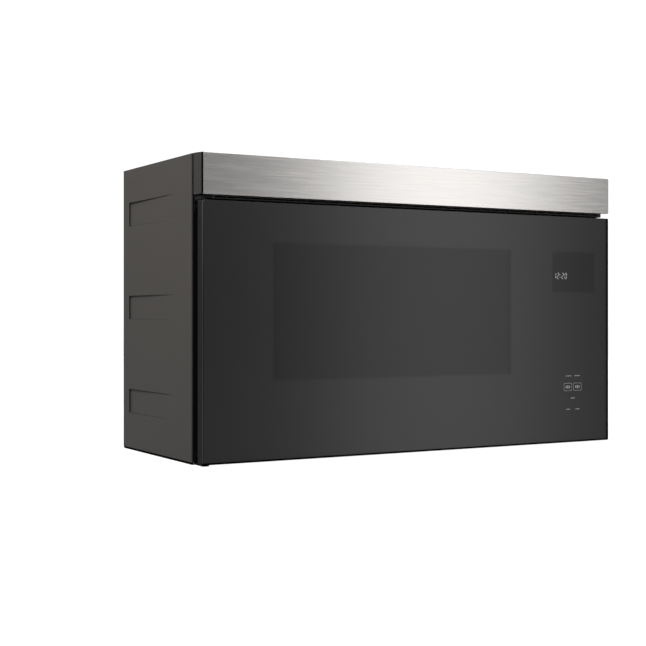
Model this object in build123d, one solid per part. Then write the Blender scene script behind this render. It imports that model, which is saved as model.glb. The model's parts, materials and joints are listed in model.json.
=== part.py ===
from build123d import *
import math
import os

# Over the range microwave, in millimetres. +Z is up and the front faces -Y.
# The origin is at the middle of the bottom face.

# Overall size
width = 762.0
depth = 316.0
height = 454.0

# Stock and clearances
sheet = 1.0  # cabinet sheet steel
cavity_sheet = 0.8
guide_sheet = 1.2
flap_sheet = 1.2
plate = 2.0  # hinge arms and brackets
moulding = 2.0  # wall of the moulded plastic pieces
board = 1.6  # circuit boards
fit = 0.2  # side clearance of a piece set into another
air = 0.4  # clearance beside a moving face
running = 0.05  # radial clearance of a shaft in its bearing
past = 1.0  # how far a cut runs beyond the face it opens

# Door and vent strip
glass = 4.0
glass_radius = 2.2
glass_bevel = 0.5
door_depth = 19.0
door_bottom = 3.0
finger_gap = 19.0
vent_gap = 8.0
strip_height = 60.5
strip_drop = 2.0  # strip top below the cabinet top
strip_edge = 0.8  # rounding of the strip's long front edges
strip_corner = 2.5
trim_return = 4.0
cap_depth = 30.0
cap_wall = 3.0
cap_slope = 1.6
cap_plug_inset = 6.5  # leaves a shadow gap behind the strip
corner_radius = 3.0
rear_corner = 5.5  # low rear corner of the cabinet's sides
shell_chamfer = 1.6
shell_wall = 3.0
shell_rib = 2.0
rib_offset = 20.0  # ribs outside the window
bracket_notch_count = 6
bracket_notch_length = 60.0
bracket_notch_width = 12.0

# Vent insert over the door
grille_front = 5.0
grille_wall = 1.5
grille_inset = 16.0
grille_end = 3.0
grille_bend = 15.0
grille_leave = (1, 0.6)  # direction of the curve where it leaves the front
grille_meet = (0.15, 1)  # and where it meets the end
grille_post = 4.0  # solid end beside the last vane
vane_pitch = 19.0
vane = 1.2
clip_width = 20.0
clip_depth = 6.2
clip_height = 12.0
clip_side = 0.4  # outer clips, as a share of the width
clip_middle = 0.13

# Charcoal filter behind the vent
charcoal_width = 520.0
charcoal_thickness = 12.0
charcoal_frame = 5.0
charcoal_dish = 2.5
charcoal_cell_count = 5
charcoal_bar = 4.0

# Oven
left_space = 62.0  # from the cabinet's left side to the oven
right_space = 160.0
floor_space = 108.0  # from the bottom face to the oven floor
rear_space = 27.0
cavity_corner = 12.0
cavity_flange = 16.0
floor_plate = 5.0
floor_margin = 14.0
floor_bevel = 1.0
well_margin = 20.0  # oven wall to the stirrer well
well_depth = 20.0
lamp_opening_radius = 15.0
lamp_back = 40.0  # lamp behind the oven's middle
lamp_drop = 45.0

# Window in the door
window_side = 50.6  # inside the oven's walls
window_low = 13.4
window_high = 13.0
screen = 0.6
screen_dish = 0.2
screen_edge = 6.0
pane = 3.0
pane_gap = 0.4
channel = 40.0  # choke channel round the window
channel_edge = 6.0
seal_gap = 1.0  # liner to the oven face
window_seat = 8.0  # what frames the window stands outside it
window_relief = 2.0
choke_pitch = 28.0
choke_slot = 3.0
choke_slot_start = 5.0
choke_end = 15.0
choke_corner = 6.0
liner_corner = 8.0
liner_bevel = 1.2

# Hinges
hinge_inset = 8.0  # hinge axis from the door's left edge
hinge_back = 12.0  # hinge axis behind the glass face
pin_radius = 3.0
pin_length = 12.0
pin_bevel = 0.8
boss_wall = 2.5
boss_depth = 15.0
boss_web = 9.0
arm_foot = 16.0
arm_outer = 5.0  # bracket to the left of the axis
arm_inner = 16.0  # bracket to the right of the axis
arm_tip_radius = 6.0
arm_taper = 12.0
arm_screw_near = 0.5
arm_screw_far = 10.5
arm_screw_rise = 2.0
liner_gap = 2.6  # bracket to the liner

# Latch and interlock switches
latch_offset = 47.0  # latch from the oven's right wall
latch_width = 7.0
latch_travel = 4.0
hook_drop = 35.0  # each hook from the oven's top or bottom
hook_height = 9.0
hook_reach = 24.0
hook_nose = 5.0
hook_heel = 9.0
hook_bevel = 4.0
nose_drop = 3.0
slot_air = 1.2
slot_side = 3.0
bar_gap = 0.3
bar_depth = 7.0
bar_width = 10.0
bar_groove = 4.0
bar_floor = 3.0
bar_low_end = 14.0
bar_high_end = 10.0
rail_gap = 0.5
rail_height = 24.0
rail_places = (0.3, 0.7)
spring_radius = 3.0
spring_wire = 0.7
spring_turns = 7
liner_end = 16.0  # liner beyond the latch
choke_clear = 9.0  # choke short of the latch
liner_screw_inset = 7.0
liner_screw_reach = 22.0
liner_post_radius = 4.5
plunger_radius = 1.6
plunger_travel = 3.0
plunger_proud = 1.6
plunger_grip = 6.0  # what stays in the case when the button is out
plunger_floor = 1.5
plunger_tip = 0.7
switch_width = 10.0
switch_depth = 16.0
switch_height = 28.0
switch_bevel = 1.0
switch_air = 0.3
tab_thickness = 0.8
tab_width = 6.3
tab_length = 8.0
switch_tab_back = 5.0
board_left = 20.0
board_right = 14.0
board_end = 30.0
board_foot = 8.0
board_foot_height = 12.0
board_foot_places = (0.04, 0.34, 0.66, 0.96)
ramp_width = 12.0
ramp_depth = 8.0
ramp_foot = 2.3
ramp_start = 3.0
ramp_crest = 9.0
ramp_end = 16.0

# Side beads
bead_height = 38.0
bead_depth = 2.3
bead_back = 25.0  # deep end from the back face
bead_length = 189.0
bead_low = 78.75  # centre of the lowest from the bottom
bead_high = 73.25  # centre of the highest from the top
bead_count = 3

# Screws and bolts
flange_width = 16.0
screw_radius = 2.0
screw_head = 3.8
screw_head_height = 1.6
screw_dome = 0.9
screw_recess = 0.8
recess_length = 3.6
recess_width = 0.9
screw_edge = 9.0
screw_low = 0.25  # screws of the rear sheet, as shares of its height
screw_high = 0.75
screw_inner = 0.55
door_screw_length = 19.0
bolt_radius = 4.0
bolt_inset = 51.0  # from the cabinet's sides
bolt_back = 59.0  # behind the oven face

# Rear sheet and wall plate
back_recess = 7.0
rib_length = 150.0
rib_width = 22.0
rib_drop = 149.0  # middle of the ribs below the top
rib_count = 4
intake_pitch = 14.0
intake_slot = 4.0
intake_length = 10.5
intake_columns = 7
intake_rows = 3
intake_rise = 12.0
wall_plate = 2.0
wall_plate_height = 190.0
wall_hole_radius = 4.0
wall_hole_x = 304.8
wall_hole_low = 24.0
wall_hole_drop = 32.0
plate_window = 60.0
plate_window_height = 36.0
plate_pitch = 84.0
plate_window_count = 7
plate_window_level = 80.0
stud_radius = 3.2
stud_pitch = 42.0
stud_rise = 100.0
stud_columns = 13
hook_spread = 0.3  # outer hooks, as a share of the width
hook_tab = 24.0
hook_rise = 12.0
hook_below = 20.0  # hooks below the plate's top

# Exhaust duct, flap and cord
duct_width = 254.0
duct_depth = 83.0
duct_inset = 15.0  # from the rear sheet
collar_height = 10.0
collar_flange = 14.0
collar_lip = 6.0
collar_screw_inset = 16.6
flap_pin = 1.5
flap_barrel = 0.9
flap_rib = 2.0
flap_inset = 4.0
flap_rise = 1.2
cord_radius = 11.0
cord_inset = 91.0  # from the cabinet's right side
cord_forward = 56.0  # from the rear sheet
cord_length = 14.0
cord_drop = 0.2
cord_lip = 3.0
cord_lip_height = 2.5

# Underside
base_edge = 14.0
filter_width = 190.0
filter_depth = 118.0
filter_side = 81.0  # from the cabinet's side to the filter
filter_back = 42.0  # front edge behind the oven face
filter_thickness = 9.0
filter_air = 0.8
filter_rim = 7.0
filter_mesh_inset = 2.5
filter_groove_count = 9
filter_groove = 2.0
filter_groove_start = 1.0
filter_groove_depth = 2.5
pull_radius = 10.0
pull_wall = 2.5
pull_height = 3.0
pull_gap = 2.0
light_width = 70.0
light_depth = 22.0
light_x = 60.0
light_back = 23.0  # middle behind the oven face
light_lens = 4.5
light_rim = 4.0
light_rim_height = 1.5
light_board_inset = 3.0
light_chip = 6.0
light_chip_height = 1.4
light_chip_count = 3
light_chip_pitch = 17.5

# Blower
wheel_radius = 39.0
wheel_blade_count = 26
wheel_side = 4.0  # wheel to the volute's side
blade_depth = 8.5
blade_tip = 0.6
blade_sheet = 0.9
blade_camber = 1.4
blade_sweep = 0.16
wheel_ring = 2.0
wheel_web = 2.0
wheel_hub = 9.0
scroll_gap = 4.0
scroll_growth = 3.0
scroll_wall = 1.5
tongue_inset = 4.0
outlet_neck = 6.9  # volute above the wheel's scroll
inlet_share = 0.72  # inlet, as a share of the wheel's radius
blower_feet = 3.0
cradle_half = 20.0
cradle_sheet = 2.0
cradle_gap = 2.0
rest_half = 14.0
rest_inset = 2.0
blower_motor_radius = 34.0
blower_motor_length = 84.0
motor_bell_share = 0.6
motor_bell_length = 12.0
motor_band = 8.0
motor_band_height = 1.2
motor_band_inset = 16.0
motor_gap = 3.0
shaft_radius = 4.0
shaft_inset = 12.0
shaft_bevel = 0.6

# Cooling fan
fan_inset = 83.0  # from the cabinet's right side
fan_drop = 154.0
fan_radius = 50.0
fan_blade_count = 7
fan_depth = 16.0
fan_hub = 14.0
fan_hub_edge = 3.0
fan_root_width = 14.0
fan_tip_width = 30.0
fan_blade = 1.4
fan_tip_blade = 1.2
fan_root_pitch = 42
fan_tip_pitch = 24
fan_tip_air = 2.5
shroud_depth = 20.0
shroud_wall = 7.0
shroud_corner = 6.0
shroud_back = 4.0
shroud_foot = 4.0
shroud_foot_inset = 6.0
spider = 7.0
spider_angles = (45, 135)
spider_reach = 4.0
spider_hub = 17.0
fan_motor_half = 22.0
fan_motor_depth = 30.0
fan_bell_radius = 15.0
fan_bell_length = 8.0
fan_coil_half = 14.0
fan_coil_drop = 40.0
fan_coil_inset = 3.0
fan_shaft_grip = 12.0

# Waveguide and stirrer
guide_width = 80.0
guide_height = 38.0
guide_end = 8.0
guide_lip = 8.0
coupling_radius = 18.0
shaft_gap = 1.5
antenna_radius = 8.0
antenna_gap = 2.0
antenna_length = 14.0
antenna_dome = 3.0
stirrer_margin = 21.0  # stirrer to the well's wall
stirrer_sheet = 1.5
stirrer_rise = 8.0
stirrer_hub = 11.0
stirrer_hub_drop = 4.0
stirrer_hub_rise = 2.0
stirrer_slot = 14.0
stirrer_slot_radius = 52.0
stirrer_slot_angles = (20, 100)  # start and sweep
stirrer_gap = 9.0
stirrer_gap_radius = 55.4
stirrer_gap_angles = (200, 55)
stirrer_notch = 30.0
stirrer_notch_width = 24.0
stirrer_notch_x = 63.0
stirrer_notch_y = 37.8
stirrer_engage = 8.0
motor_boss = 4.0
motor_boss_radius = 10.0
stirrer_motor_radius = 24.0
stirrer_motor_height = 16.0
stirrer_motor_bevel = 1.0
ear_reach = 12.0
ear_width = 14.0
ear_sheet = 1.2
ear_offset = 30.0
ear_post = 4.0
motor_plug_half = 8.0
motor_plug_reach = 7.0
motor_plug_bite = 3.0
motor_plug_top = 5.0
motor_plug_low = 12.0

# Magnetron
magnetron_gap = 26.0  # from the oven's right wall
magnetron_width = 92.0
magnetron_depth = 78.0
magnetron_height = 74.0
magnetron_base = 3.0
yoke_inset = 6.0
yoke_sheet = 2.0
core_radius = 19.0
fin_count = 6
fin = 0.8
fin_pitch = 8.0
fin_start = 16.0
fin_inset = 1.0
filter_box_x = 26.0
filter_box_y = 30.0
filter_box_height = 24.0
filter_plug_reach = 8.0
filter_plug_half = 12.0
filter_plug_low = 4.0
filter_plug_high = 18.0

# High-voltage parts
transformer_inset = 40.0  # inside the oven's right wall
transformer_back = 4.0
transformer_width = 96.0
transformer_depth = 78.0
transformer_height = 82.0
core_inset = 12.0
core_limb = 16.0
core_foot = 10.0
core_foot_corner = 4.0
coil_inset = 17.0
coil_corner = 12.0
coil_gap = 1.0
coil_low = 18.0
terminal_offsets = (-20.0, -8.0, 8.0, 20.0)
terminal_half = 3.0
terminal_reach = 8.0
capacitor_gap = 48.0
can_length = 54.0
can_width = 34.0
can_height = 72.0
can_edge = 2.0
can_rim = 1.0
can_rim_height = 3.0
can_rim_drop = 2.0
strap_length = 86.0
strap_width = 16.0
strap_sheet = 1.2
strap_hole_radius = 2.2
strap_hole_x = 36.0
can_pin_x = 12.0
diode_gap = 78.0
diode_tag_length = 26.0
diode_tag_width = 9.0
diode_radius = 4.5
diode_length = 16.0
diode_rise = 16.0
diode_stem = 3.0
diode_x = 7.5

# Lamp, cut-outs and boards
bulb_radius = 8.0
bulb_length = 10.0
bulb_start = 2.0
bulb_dome = 4.0
socket_start = 10.0
socket_end = 34.0
socket_half = 12.0
socket_edge = 2.0
lamp_foot = 24.0
lamp_foot_height = 18.0
lamp_foot_sheet = 2.0
cover_margin = 7.0
cover_sheet = 0.8
cover_slot_radius = 2.2
cover_outer = 9.9
cover_inner = 4.5
cover_outer_count = 8
cover_inner_count = 4
cutout_radius = 8.0
cutout_height = 7.0
cutout_flange = 30.0
cutout_flange_width = 9.0
cutout_pin_x = 4.0
oven_cutout_left = 120.0  # from the oven's left wall
oven_cutout_back = 59.0  # behind the oven face
magnetron_cutout_x = 36.0
control_gap = 10.0
control_front = 23.0  # behind the oven face
control_length = 140.0
control_height = 192.0
control_drop = 82.0  # below the top
control_post_radius = 3.5
control_post_inset = 16.0
control_post_level = 20.0
relay_count = 4
relay_pitch = 26.0
relay_width = 16.0
relay_height = 20.0
relay_depth = 16.4
relay_front = 22.0
relay_rise = 35.0
supply_depth = 24.4
supply_front = 26.0
supply_width = 34.0
supply_height = 35.0
supply_rise = 110.0
header_count = 3
header_pitch = 20.0
header_front = 80.0
header_width = 12.0
header_height = 12.0
header_depth = 10.4
header_rise = 158.0
buffer_radius = 6.0
buffer_length = 17.0
buffer_front = 4.0

# Display and touch keys
display_inset = 31.1  # from the door's right edge
display_width = 92.5
display_height = 68.0
display_drop = 59.5  # below the door's top
display_depth = 8.0
display_corner = 4.0
display_edge = 6.0
display_plug_x = 14.0
display_plug_width = 8.0
display_plug_z = 12.0
display_plug_height = 18.0
touch_inset = 51.0
touch_width = 54.0
touch_height = 84.0
touch_rise = 41.0
touch_corner = 3.0
touch_pad = 3.0
touch_pad_inset = 6.0
chip_x = 18.0
chip_z = 36.0
chip_side = 12.0
chip_height = 1.4

# Places worked out from the sizes above
left = -width / 2
right = width / 2
front = -depth / 2
back = depth / 2
glass_back = front + glass
door_back = front + door_depth
cabinet_front = door_back + finger_gap
frame_back = cabinet_front + sheet
panel_face = back - back_recess
strip_top = height - strip_drop
strip_bottom = strip_top - strip_height
door_top = strip_bottom - vent_gap
duct_back = panel_face - duct_inset
duct_front = duct_back - duct_depth
scroll_start = wheel_radius + scroll_gap
blower_top = height - sheet - collar_height - 2 * air
blower_level = blower_top - outlet_neck - scroll_start
blower_bottom = blower_level - scroll_start - 2 * scroll_growth - scroll_wall - blower_feet
blower_y = duct_back - scroll_start - 3 * scroll_growth
cavity_left = left + left_space
cavity_right = right - right_space
cavity_x = (cavity_left + cavity_right) / 2
cavity_floor = floor_space
cavity_top = blower_bottom - cavity_sheet
cavity_back = back - rear_space
cavity_middle = (frame_back + cavity_back) / 2
well_radius = (cavity_back - frame_back) / 2 - well_margin
well_bottom = cavity_floor - well_depth
guide_top = well_bottom - cavity_sheet
guide_bottom = guide_top - guide_height
window_left = cavity_left + window_side
window_right = cavity_right - window_side
window_bottom = cavity_floor + window_low
window_top = cavity_top - window_high
hinge_x = left + hinge_inset
hinge_y = front + hinge_back
latch_x = cavity_right + latch_offset
liner_back = cabinet_front - seal_gap
liner_left = hinge_x + arm_inner + liner_gap
liner_right = latch_x + liner_end
liner_low = window_bottom - channel - moulding - channel_edge
liner_high = window_top + channel + moulding + channel_edge
choke_left = liner_left + moulding + fit
choke_right = latch_x - choke_clear
choke_low = liner_low + moulding + fit
choke_high = liner_high - moulding - fit
hook_levels = (cavity_floor + hook_drop, cavity_top - hook_drop)
finger_level = sum(hook_levels) / 2
slot_levels = (hook_levels[0], finger_level, hook_levels[1])
bar_y = (door_back + bar_gap, door_back + bar_gap + bar_depth)
switch_front = liner_back + hook_reach + plunger_proud + switch_air
plunger_socket = plunger_grip + plunger_travel
spring_top = liner_high - moulding - fit
spring_bottom = hook_levels[1] + bar_high_end
bead_pitch = (height - bead_low - bead_high) / (bead_count - 1)
bead_levels = tuple(bead_low + bead_pitch * row for row in range(bead_count))
bolt_points_x = (left + bolt_inset, right - bolt_inset)
bolt_y = frame_back + bolt_back
panel_screw_points = [
    (x, z)
    for x in (left + screw_edge, right - screw_edge)
    for z in (screw_low * height, screw_high * height)
]
panel_screw_points += [(x, height - screw_edge) for x in (screw_inner * left, screw_inner * right)]
rib_level = height - rib_drop
fan_x = right - fan_inset
fan_level = height - fan_drop
fan_y = panel_face - sheet - shroud_back - shroud_depth / 2
hook_level = wall_plate_height - hook_below
plate_hook_points = (-hook_spread * width, 0.0, hook_spread * width)
wall_hole_high = wall_plate_height - wall_hole_drop
wall_holes = [(x, z) for x in (-wall_hole_x, wall_hole_x) for z in (wall_hole_low, wall_hole_high)]
flap_y = duct_back - flap_inset
flap_level = height - sheet - collar_height + flap_pin + flap_rise
cord_x = right - cord_inset
cord_y = panel_face - cord_forward
cord_middle = height - cord_drop - cord_length / 2
filter_x = right - filter_side - filter_width / 2
filter_y = frame_back + filter_back + filter_depth / 2
filter_low = sheet / 2
filter_hinge_y = filter_y - filter_depth / 2 + filter_thickness / 2
filter_hinge_z = filter_low + filter_thickness / 2
light_y = frame_back + light_back
scroll_width = duct_width / 2 + moulding - blower_motor_length / 2 - motor_gap
scroll_x = blower_motor_length / 2 + motor_gap + scroll_width / 2
wheel_width = scroll_width - 2 * wheel_side
stirrer_radius = well_radius - stirrer_margin
magnetron_x = cavity_right + magnetron_gap + magnetron_width / 2
transformer_x = cavity_right - transformer_inset
transformer_y = panel_face - transformer_back - transformer_depth / 2
capacitor_x = transformer_x - transformer_width / 2 - capacitor_gap
lamp_y = cavity_middle + lamp_back
lamp_level = cavity_top - lamp_drop
screw_length = plate + sheet
display_right = right - display_inset
display_left = display_right - display_width
display_high = door_top - display_drop
display_low = display_high - display_height
touch_right = right - touch_inset
touch_left = touch_right - touch_width
touch_low = door_bottom + touch_rise
touch_high = touch_low + touch_height


def block(x, y, z):
    """Box from its lowest and highest X, Y and Z."""
    centre = ((x[0] + x[1]) / 2, (y[0] + y[1]) / 2, (z[0] + z[1]) / 2)
    return Pos(*centre) * Box(x[1] - x[0], y[1] - y[0], z[1] - z[0])


def span(middle, size):
    """Lowest and highest value of a size set about its middle."""
    return (middle - size / 2, middle + size / 2)


def rod(axis, centre, radius, length):
    """Cylinder along X, Y or Z, with its middle at centre."""
    turn = {"x": Rot(0, 90, 0), "y": Rot(90, 0, 0), "z": Rot(0, 0, 0)}[axis]
    return Pos(*centre) * turn * Cylinder(radius, length)


def front_plate(x, z, y, radius):
    """Plate that faces the front, with rounded corners, from y[0] back to y[1]."""
    outline = RectangleRounded(x[1] - x[0], z[1] - z[0], radius)
    centre = ((x[0] + x[1]) / 2, y[1], (z[0] + z[1]) / 2)
    return Pos(*centre) * Rot(90, 0, 0) * extrude(outline, y[1] - y[0])


def level_plate(x, y, z, radius):
    """Plate that lies level, with rounded corners, from z[0] up to z[1]."""
    outline = RectangleRounded(x[1] - x[0], y[1] - y[0], radius)
    centre = ((x[0] + x[1]) / 2, (y[0] + y[1]) / 2, z[0])
    return Pos(*centre) * extrude(outline, z[1] - z[0])


def side_profile(points, x):
    """Outline in Y and Z, extruded along X from x[0] to x[1]."""
    face = make_face(Plane.YZ * Polyline(*points, close=True))
    return Pos(x[0], 0, 0) * extrude(face, x[1] - x[0], dir=(1, 0, 0))


def upright(outline, rise):
    """Level outline, extruded upwards."""
    return extrude(outline, rise, dir=(0, 0, 1))


def merge(pieces):
    """One solid from pieces that meet or overlap."""
    return pieces[0] + pieces[1:]


def repeated(places, shape):
    """One sketch from copies of a shape at several places."""
    return Sketch() + [place * shape for place in places]


def spread(count, pitch, middle):
    """Evenly pitched places about a middle."""
    return [middle + (number - (count - 1) / 2) * pitch for number in range(count)]


def bead_wedge(level, side, inset):
    """Wedge of one pressed side bead: flush at the front and deepest near the back."""
    deep_y = back - bead_back
    flush_y = deep_y - bead_length
    face = side * (width / 2 - inset)
    outline = [(face, flush_y), (face, deep_y + inset), (face - side * bead_depth, deep_y + inset)]
    wedge = upright(make_face(Polyline(*outline, close=True)), bead_height + 2 * inset)
    return Pos(0, 0, level - bead_height / 2 - inset) * wedge


def duct_box(margin, z):
    """Space of the exhaust duct, grown by a margin."""
    x = span(0, duct_width + 2 * margin)
    return block(x, (duct_front - margin, duct_back + margin), z)


def collar_screw_points():
    """Four screws that hold the exhaust collar up to the top panel."""
    reach_x = duct_width / 2 + (moulding + collar_flange) / 2
    ys = (duct_front + collar_screw_inset, duct_back - collar_screw_inset)
    return [(side * reach_x, y) for side in (-1, 1) for y in ys]


def cabinet_wrapper():
    """Top and sides from one folded sheet, with pressed beads and rear flanges."""
    y = (cabinet_front, back)
    shell = block((left, right), y, (0, height))
    shell = shell - block((left + sheet, right - sheet), (y[0] - past, y[1] + past), (-past, height - sheet))
    for level in bead_levels:
        for side in (-1, 1):
            shell = shell + bead_wedge(level, side, sheet)
    for level in bead_levels:
        for side in (-1, 1):
            shell = shell - bead_wedge(level, side, 0)
    corner = shell.edges().filter_by(Axis.X).group_by(Axis.Z)[0].group_by(Axis.Y)[-1]
    shell = fillet(corner, rear_corner)
    flange_y = (panel_face - 2 * sheet, panel_face - sheet)
    flange = block((left + sheet, right - sheet), flange_y, (sheet + fit, height - sheet))
    inside = (left + flange_width, right - flange_width)
    flange = flange - block(inside, (flange_y[0] - past, flange_y[1] + past), (-past, height - flange_width))
    shell = shell + flange
    for x, z in panel_screw_points:
        shell = shell - rod("y", (x, panel_face, z), screw_radius + air, 4 * sheet)
    shell = shell - duct_box(0, (height - 2 * sheet, height + past))
    shell = shell - rod("z", (cord_x, cord_y, height), cord_radius + moulding + fit, 4 * sheet)
    for x in bolt_points_x:
        shell = shell - rod("z", (x, bolt_y, height), bolt_radius, 4 * sheet)
    for x, y in collar_screw_points():
        shell = shell - rod("z", (x, y, height), screw_radius + air, 4 * sheet)
    return shell


def back_panel():
    """Rear sheet with vent slots, plate hook slots and pressed ribs."""
    x = (left + sheet + fit, right - sheet - fit)
    z = (sheet + fit, height - sheet - fit)
    panel = front_plate(x, z, (panel_face - sheet, panel_face), corner_radius)
    rib = SlotOverall(rib_length, rib_width, rotation=90)
    raised = extrude(rib, sheet)
    dish = extrude(offset(rib, amount=-sheet), sheet)
    turn = Rot(90, 0, 0)
    for rib_x in spread(rib_count, (cavity_right - cavity_left) / rib_count, cavity_x):
        panel = panel + Pos(rib_x, panel_face - sheet, rib_level) * turn * raised
        panel = panel - Pos(rib_x, panel_face, rib_level) * turn * dish
    slots = GridLocations(intake_pitch, intake_rise, intake_columns, intake_rows)
    opening = repeated(slots, SlotOverall(intake_length, intake_slot))
    panel = panel - Pos(fan_x, panel_face + past, fan_level) * turn * extrude(opening, 4 * sheet)
    for hook_x in plate_hook_points:
        panel = panel - plate_hook_slot(hook_x)
    for x, z in panel_screw_points:
        panel = panel - rod("y", (x, panel_face, z), screw_radius + fit, 4 * sheet)
    return panel


def plate_hook_slot(hook_x):
    """Slot in the rear sheet that a hook of the wall plate stands in."""
    z = (hook_level - air, hook_level + hook_rise + air)
    return block(span(hook_x, hook_tab + 2 * air), (panel_face - 3 * sheet, panel_face + past), z)


def plate_hook(hook_x):
    """Tab that runs forward through the rear sheet and turns up behind it."""
    tip = panel_face - 2 * sheet - air - wall_plate
    x = span(hook_x, hook_tab)
    arm = block(x, (tip, back - wall_plate), (hook_level, hook_level + wall_plate))
    tongue = block(x, (tip, tip + wall_plate), (hook_level, hook_level + hook_rise))
    return arm + tongue


def wall_mounting_plate():
    """Plate that is bolted to the wall, with holes and hooks for the cabinet."""
    edge = sheet + fit + corner_radius
    z = (corner_radius, wall_plate_height)
    whole = front_plate((left + edge, right - edge), z, (back - wall_plate, back), 2 * corner_radius)
    window = RectangleRounded(plate_window, plate_window_height, corner_radius)
    windows = repeated(GridLocations(plate_pitch, 1, plate_window_count, 1), window)
    studs = repeated(GridLocations(stud_pitch, stud_rise, stud_columns, 2), Circle(stud_radius))
    place = Pos(0, back + past, plate_window_level) * Rot(90, 0, 0)
    whole = whole - place * extrude(windows + studs, 3 * wall_plate)
    for x, z in wall_holes:
        whole = whole - rod("y", (x, back, z), wall_hole_radius, 6 * wall_plate)
    for hook_x in plate_hook_points:
        whole = whole + plate_hook(hook_x)
    return whole


def filter_space(side, margin, z):
    """Room of one grease filter, grown by a margin."""
    xs = span(side * filter_x, filter_width + 2 * margin)
    return block(xs, span(filter_y, filter_depth + 2 * margin), z)


def light_space(side, margin, z):
    """Room of one cooktop light, grown by a margin."""
    xs = span(side * light_x, light_width + 2 * margin)
    return block(xs, span(light_y, light_depth + 2 * margin), z)


def base_plate():
    """Bottom pan with the filter openings, light openings and turned-up edges."""
    x = (left + sheet + fit, right - sheet - fit)
    y = (frame_back + fit, panel_face - 2 * sheet - fit)
    pan = level_plate(x, y, (0, base_edge), corner_radius)
    inner_x = (x[0] + sheet, x[1] - sheet)
    inner_y = (y[0] + sheet, y[1] - sheet)
    pan = pan - level_plate(inner_x, inner_y, (sheet, base_edge + past), corner_radius - sheet)
    for side in (-1, 1):
        opening = filter_space(side, filter_air, (-past, base_edge))
        lip = filter_space(side, filter_air + 2 * sheet, (sheet, filter_thickness))
        pan = (pan + lip) - opening
        pan = pan - light_space(side, fit, (-past, base_edge))
    return pan


def grease_filter(side):
    """Mesh filter: rim with a rolled front edge, ribbed middle and a pull ring."""
    z = (filter_low, filter_low + filter_thickness)
    x = side * filter_x
    x_range = span(x, filter_width)
    rim = block(x_range, (filter_hinge_y, filter_y + filter_depth / 2), z)
    rim = rim + rod("x", (x, filter_hinge_y, filter_hinge_z), filter_thickness / 2, filter_width)
    rim = rim - filter_space(side, -filter_rim, (z[0] - past, z[1] + past))
    mesh_z = (z[0] + filter_mesh_inset, z[1] - filter_mesh_inset)
    mesh = filter_space(side, fit - filter_rim, mesh_z)
    pitch = (filter_width - 2 * filter_rim) / (filter_groove_count + 1)
    groove_z = (z[0] + filter_groove_start, z[0] + filter_groove_start + filter_groove_depth)
    for groove_x in spread(filter_groove_count, pitch, x):
        mesh = mesh - block(span(groove_x, filter_groove), span(filter_y, filter_depth), groove_z)
    pull_y = filter_y + filter_depth / 2 - filter_rim - pull_radius - pull_gap
    mesh = mesh - rod("z", (x, pull_y, z[0]), pull_radius, 3 * filter_thickness)
    ring_middle = (x, pull_y, z[0] + pull_height)
    ring = rod("z", ring_middle, pull_radius, pull_height)
    ring = ring - rod("z", ring_middle, pull_radius - pull_wall, pull_height + past)
    return merge([rim, mesh, ring])


def cooktop_light(side):
    """Lamp under the cabinet: a lens set in the base with its board above."""
    lens_top = filter_low + light_lens
    lens = light_space(side, 0, (filter_low, lens_top))
    lens = fillet(lens.edges().filter_by(Axis.Z), corner_radius)
    rim = light_space(side, light_rim, (sheet, sheet + light_rim_height))
    panel = light_space(side, -light_board_inset, (lens_top, lens_top + board))
    chip_z = (lens_top + board, lens_top + board + light_chip_height)
    chips = []
    for chip_x in spread(light_chip_count, light_chip_pitch, side * light_x):
        chips.append(block(span(chip_x, light_chip), span(light_y, light_chip), chip_z))
    return merge([lens, rim, panel] + chips)


def front_frame():
    """Oven face plate: cavity mouth, latch slots and a rearward top flange."""
    x = (left + sheet + fit, right - sheet - fit)
    top = strip_bottom
    face = front_plate(x, (door_bottom, top), (cabinet_front, frame_back), corner_radius)
    through = (cabinet_front - past, frame_back + past)
    mouth = front_plate((cavity_left, cavity_right), (cavity_floor, cavity_top), through, corner_radius)
    face = face - mouth
    face = face + block(x, (frame_back, frame_back + flange_width), (top - sheet, top))
    for level in slot_levels:
        face = face - latch_slot(level, through)
    for x_screw, z_screw in arm_screw_points():
        face = face - rod("y", (x_screw, cabinet_front, z_screw), screw_radius + fit, 6 * sheet)
    return face


def latch_slot(level, y):
    """Slot for one hook, tall enough for the hook and its lift."""
    low = level - hook_height / 2 - nose_drop - slot_air
    high = level + hook_height / 2 + latch_travel + slot_air
    return block(span(latch_x, latch_width + 2 * slot_side), y, (low, high))


def arm_screw_points():
    """Two screws through each hinge bracket's foot."""
    xs = (hinge_x + arm_screw_near, hinge_x + arm_screw_far)
    low = door_bottom + arm_foot / 2 + arm_screw_rise
    high = door_top - arm_foot / 2
    return [(x, z) for x in xs for z in (low, high)]


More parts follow.
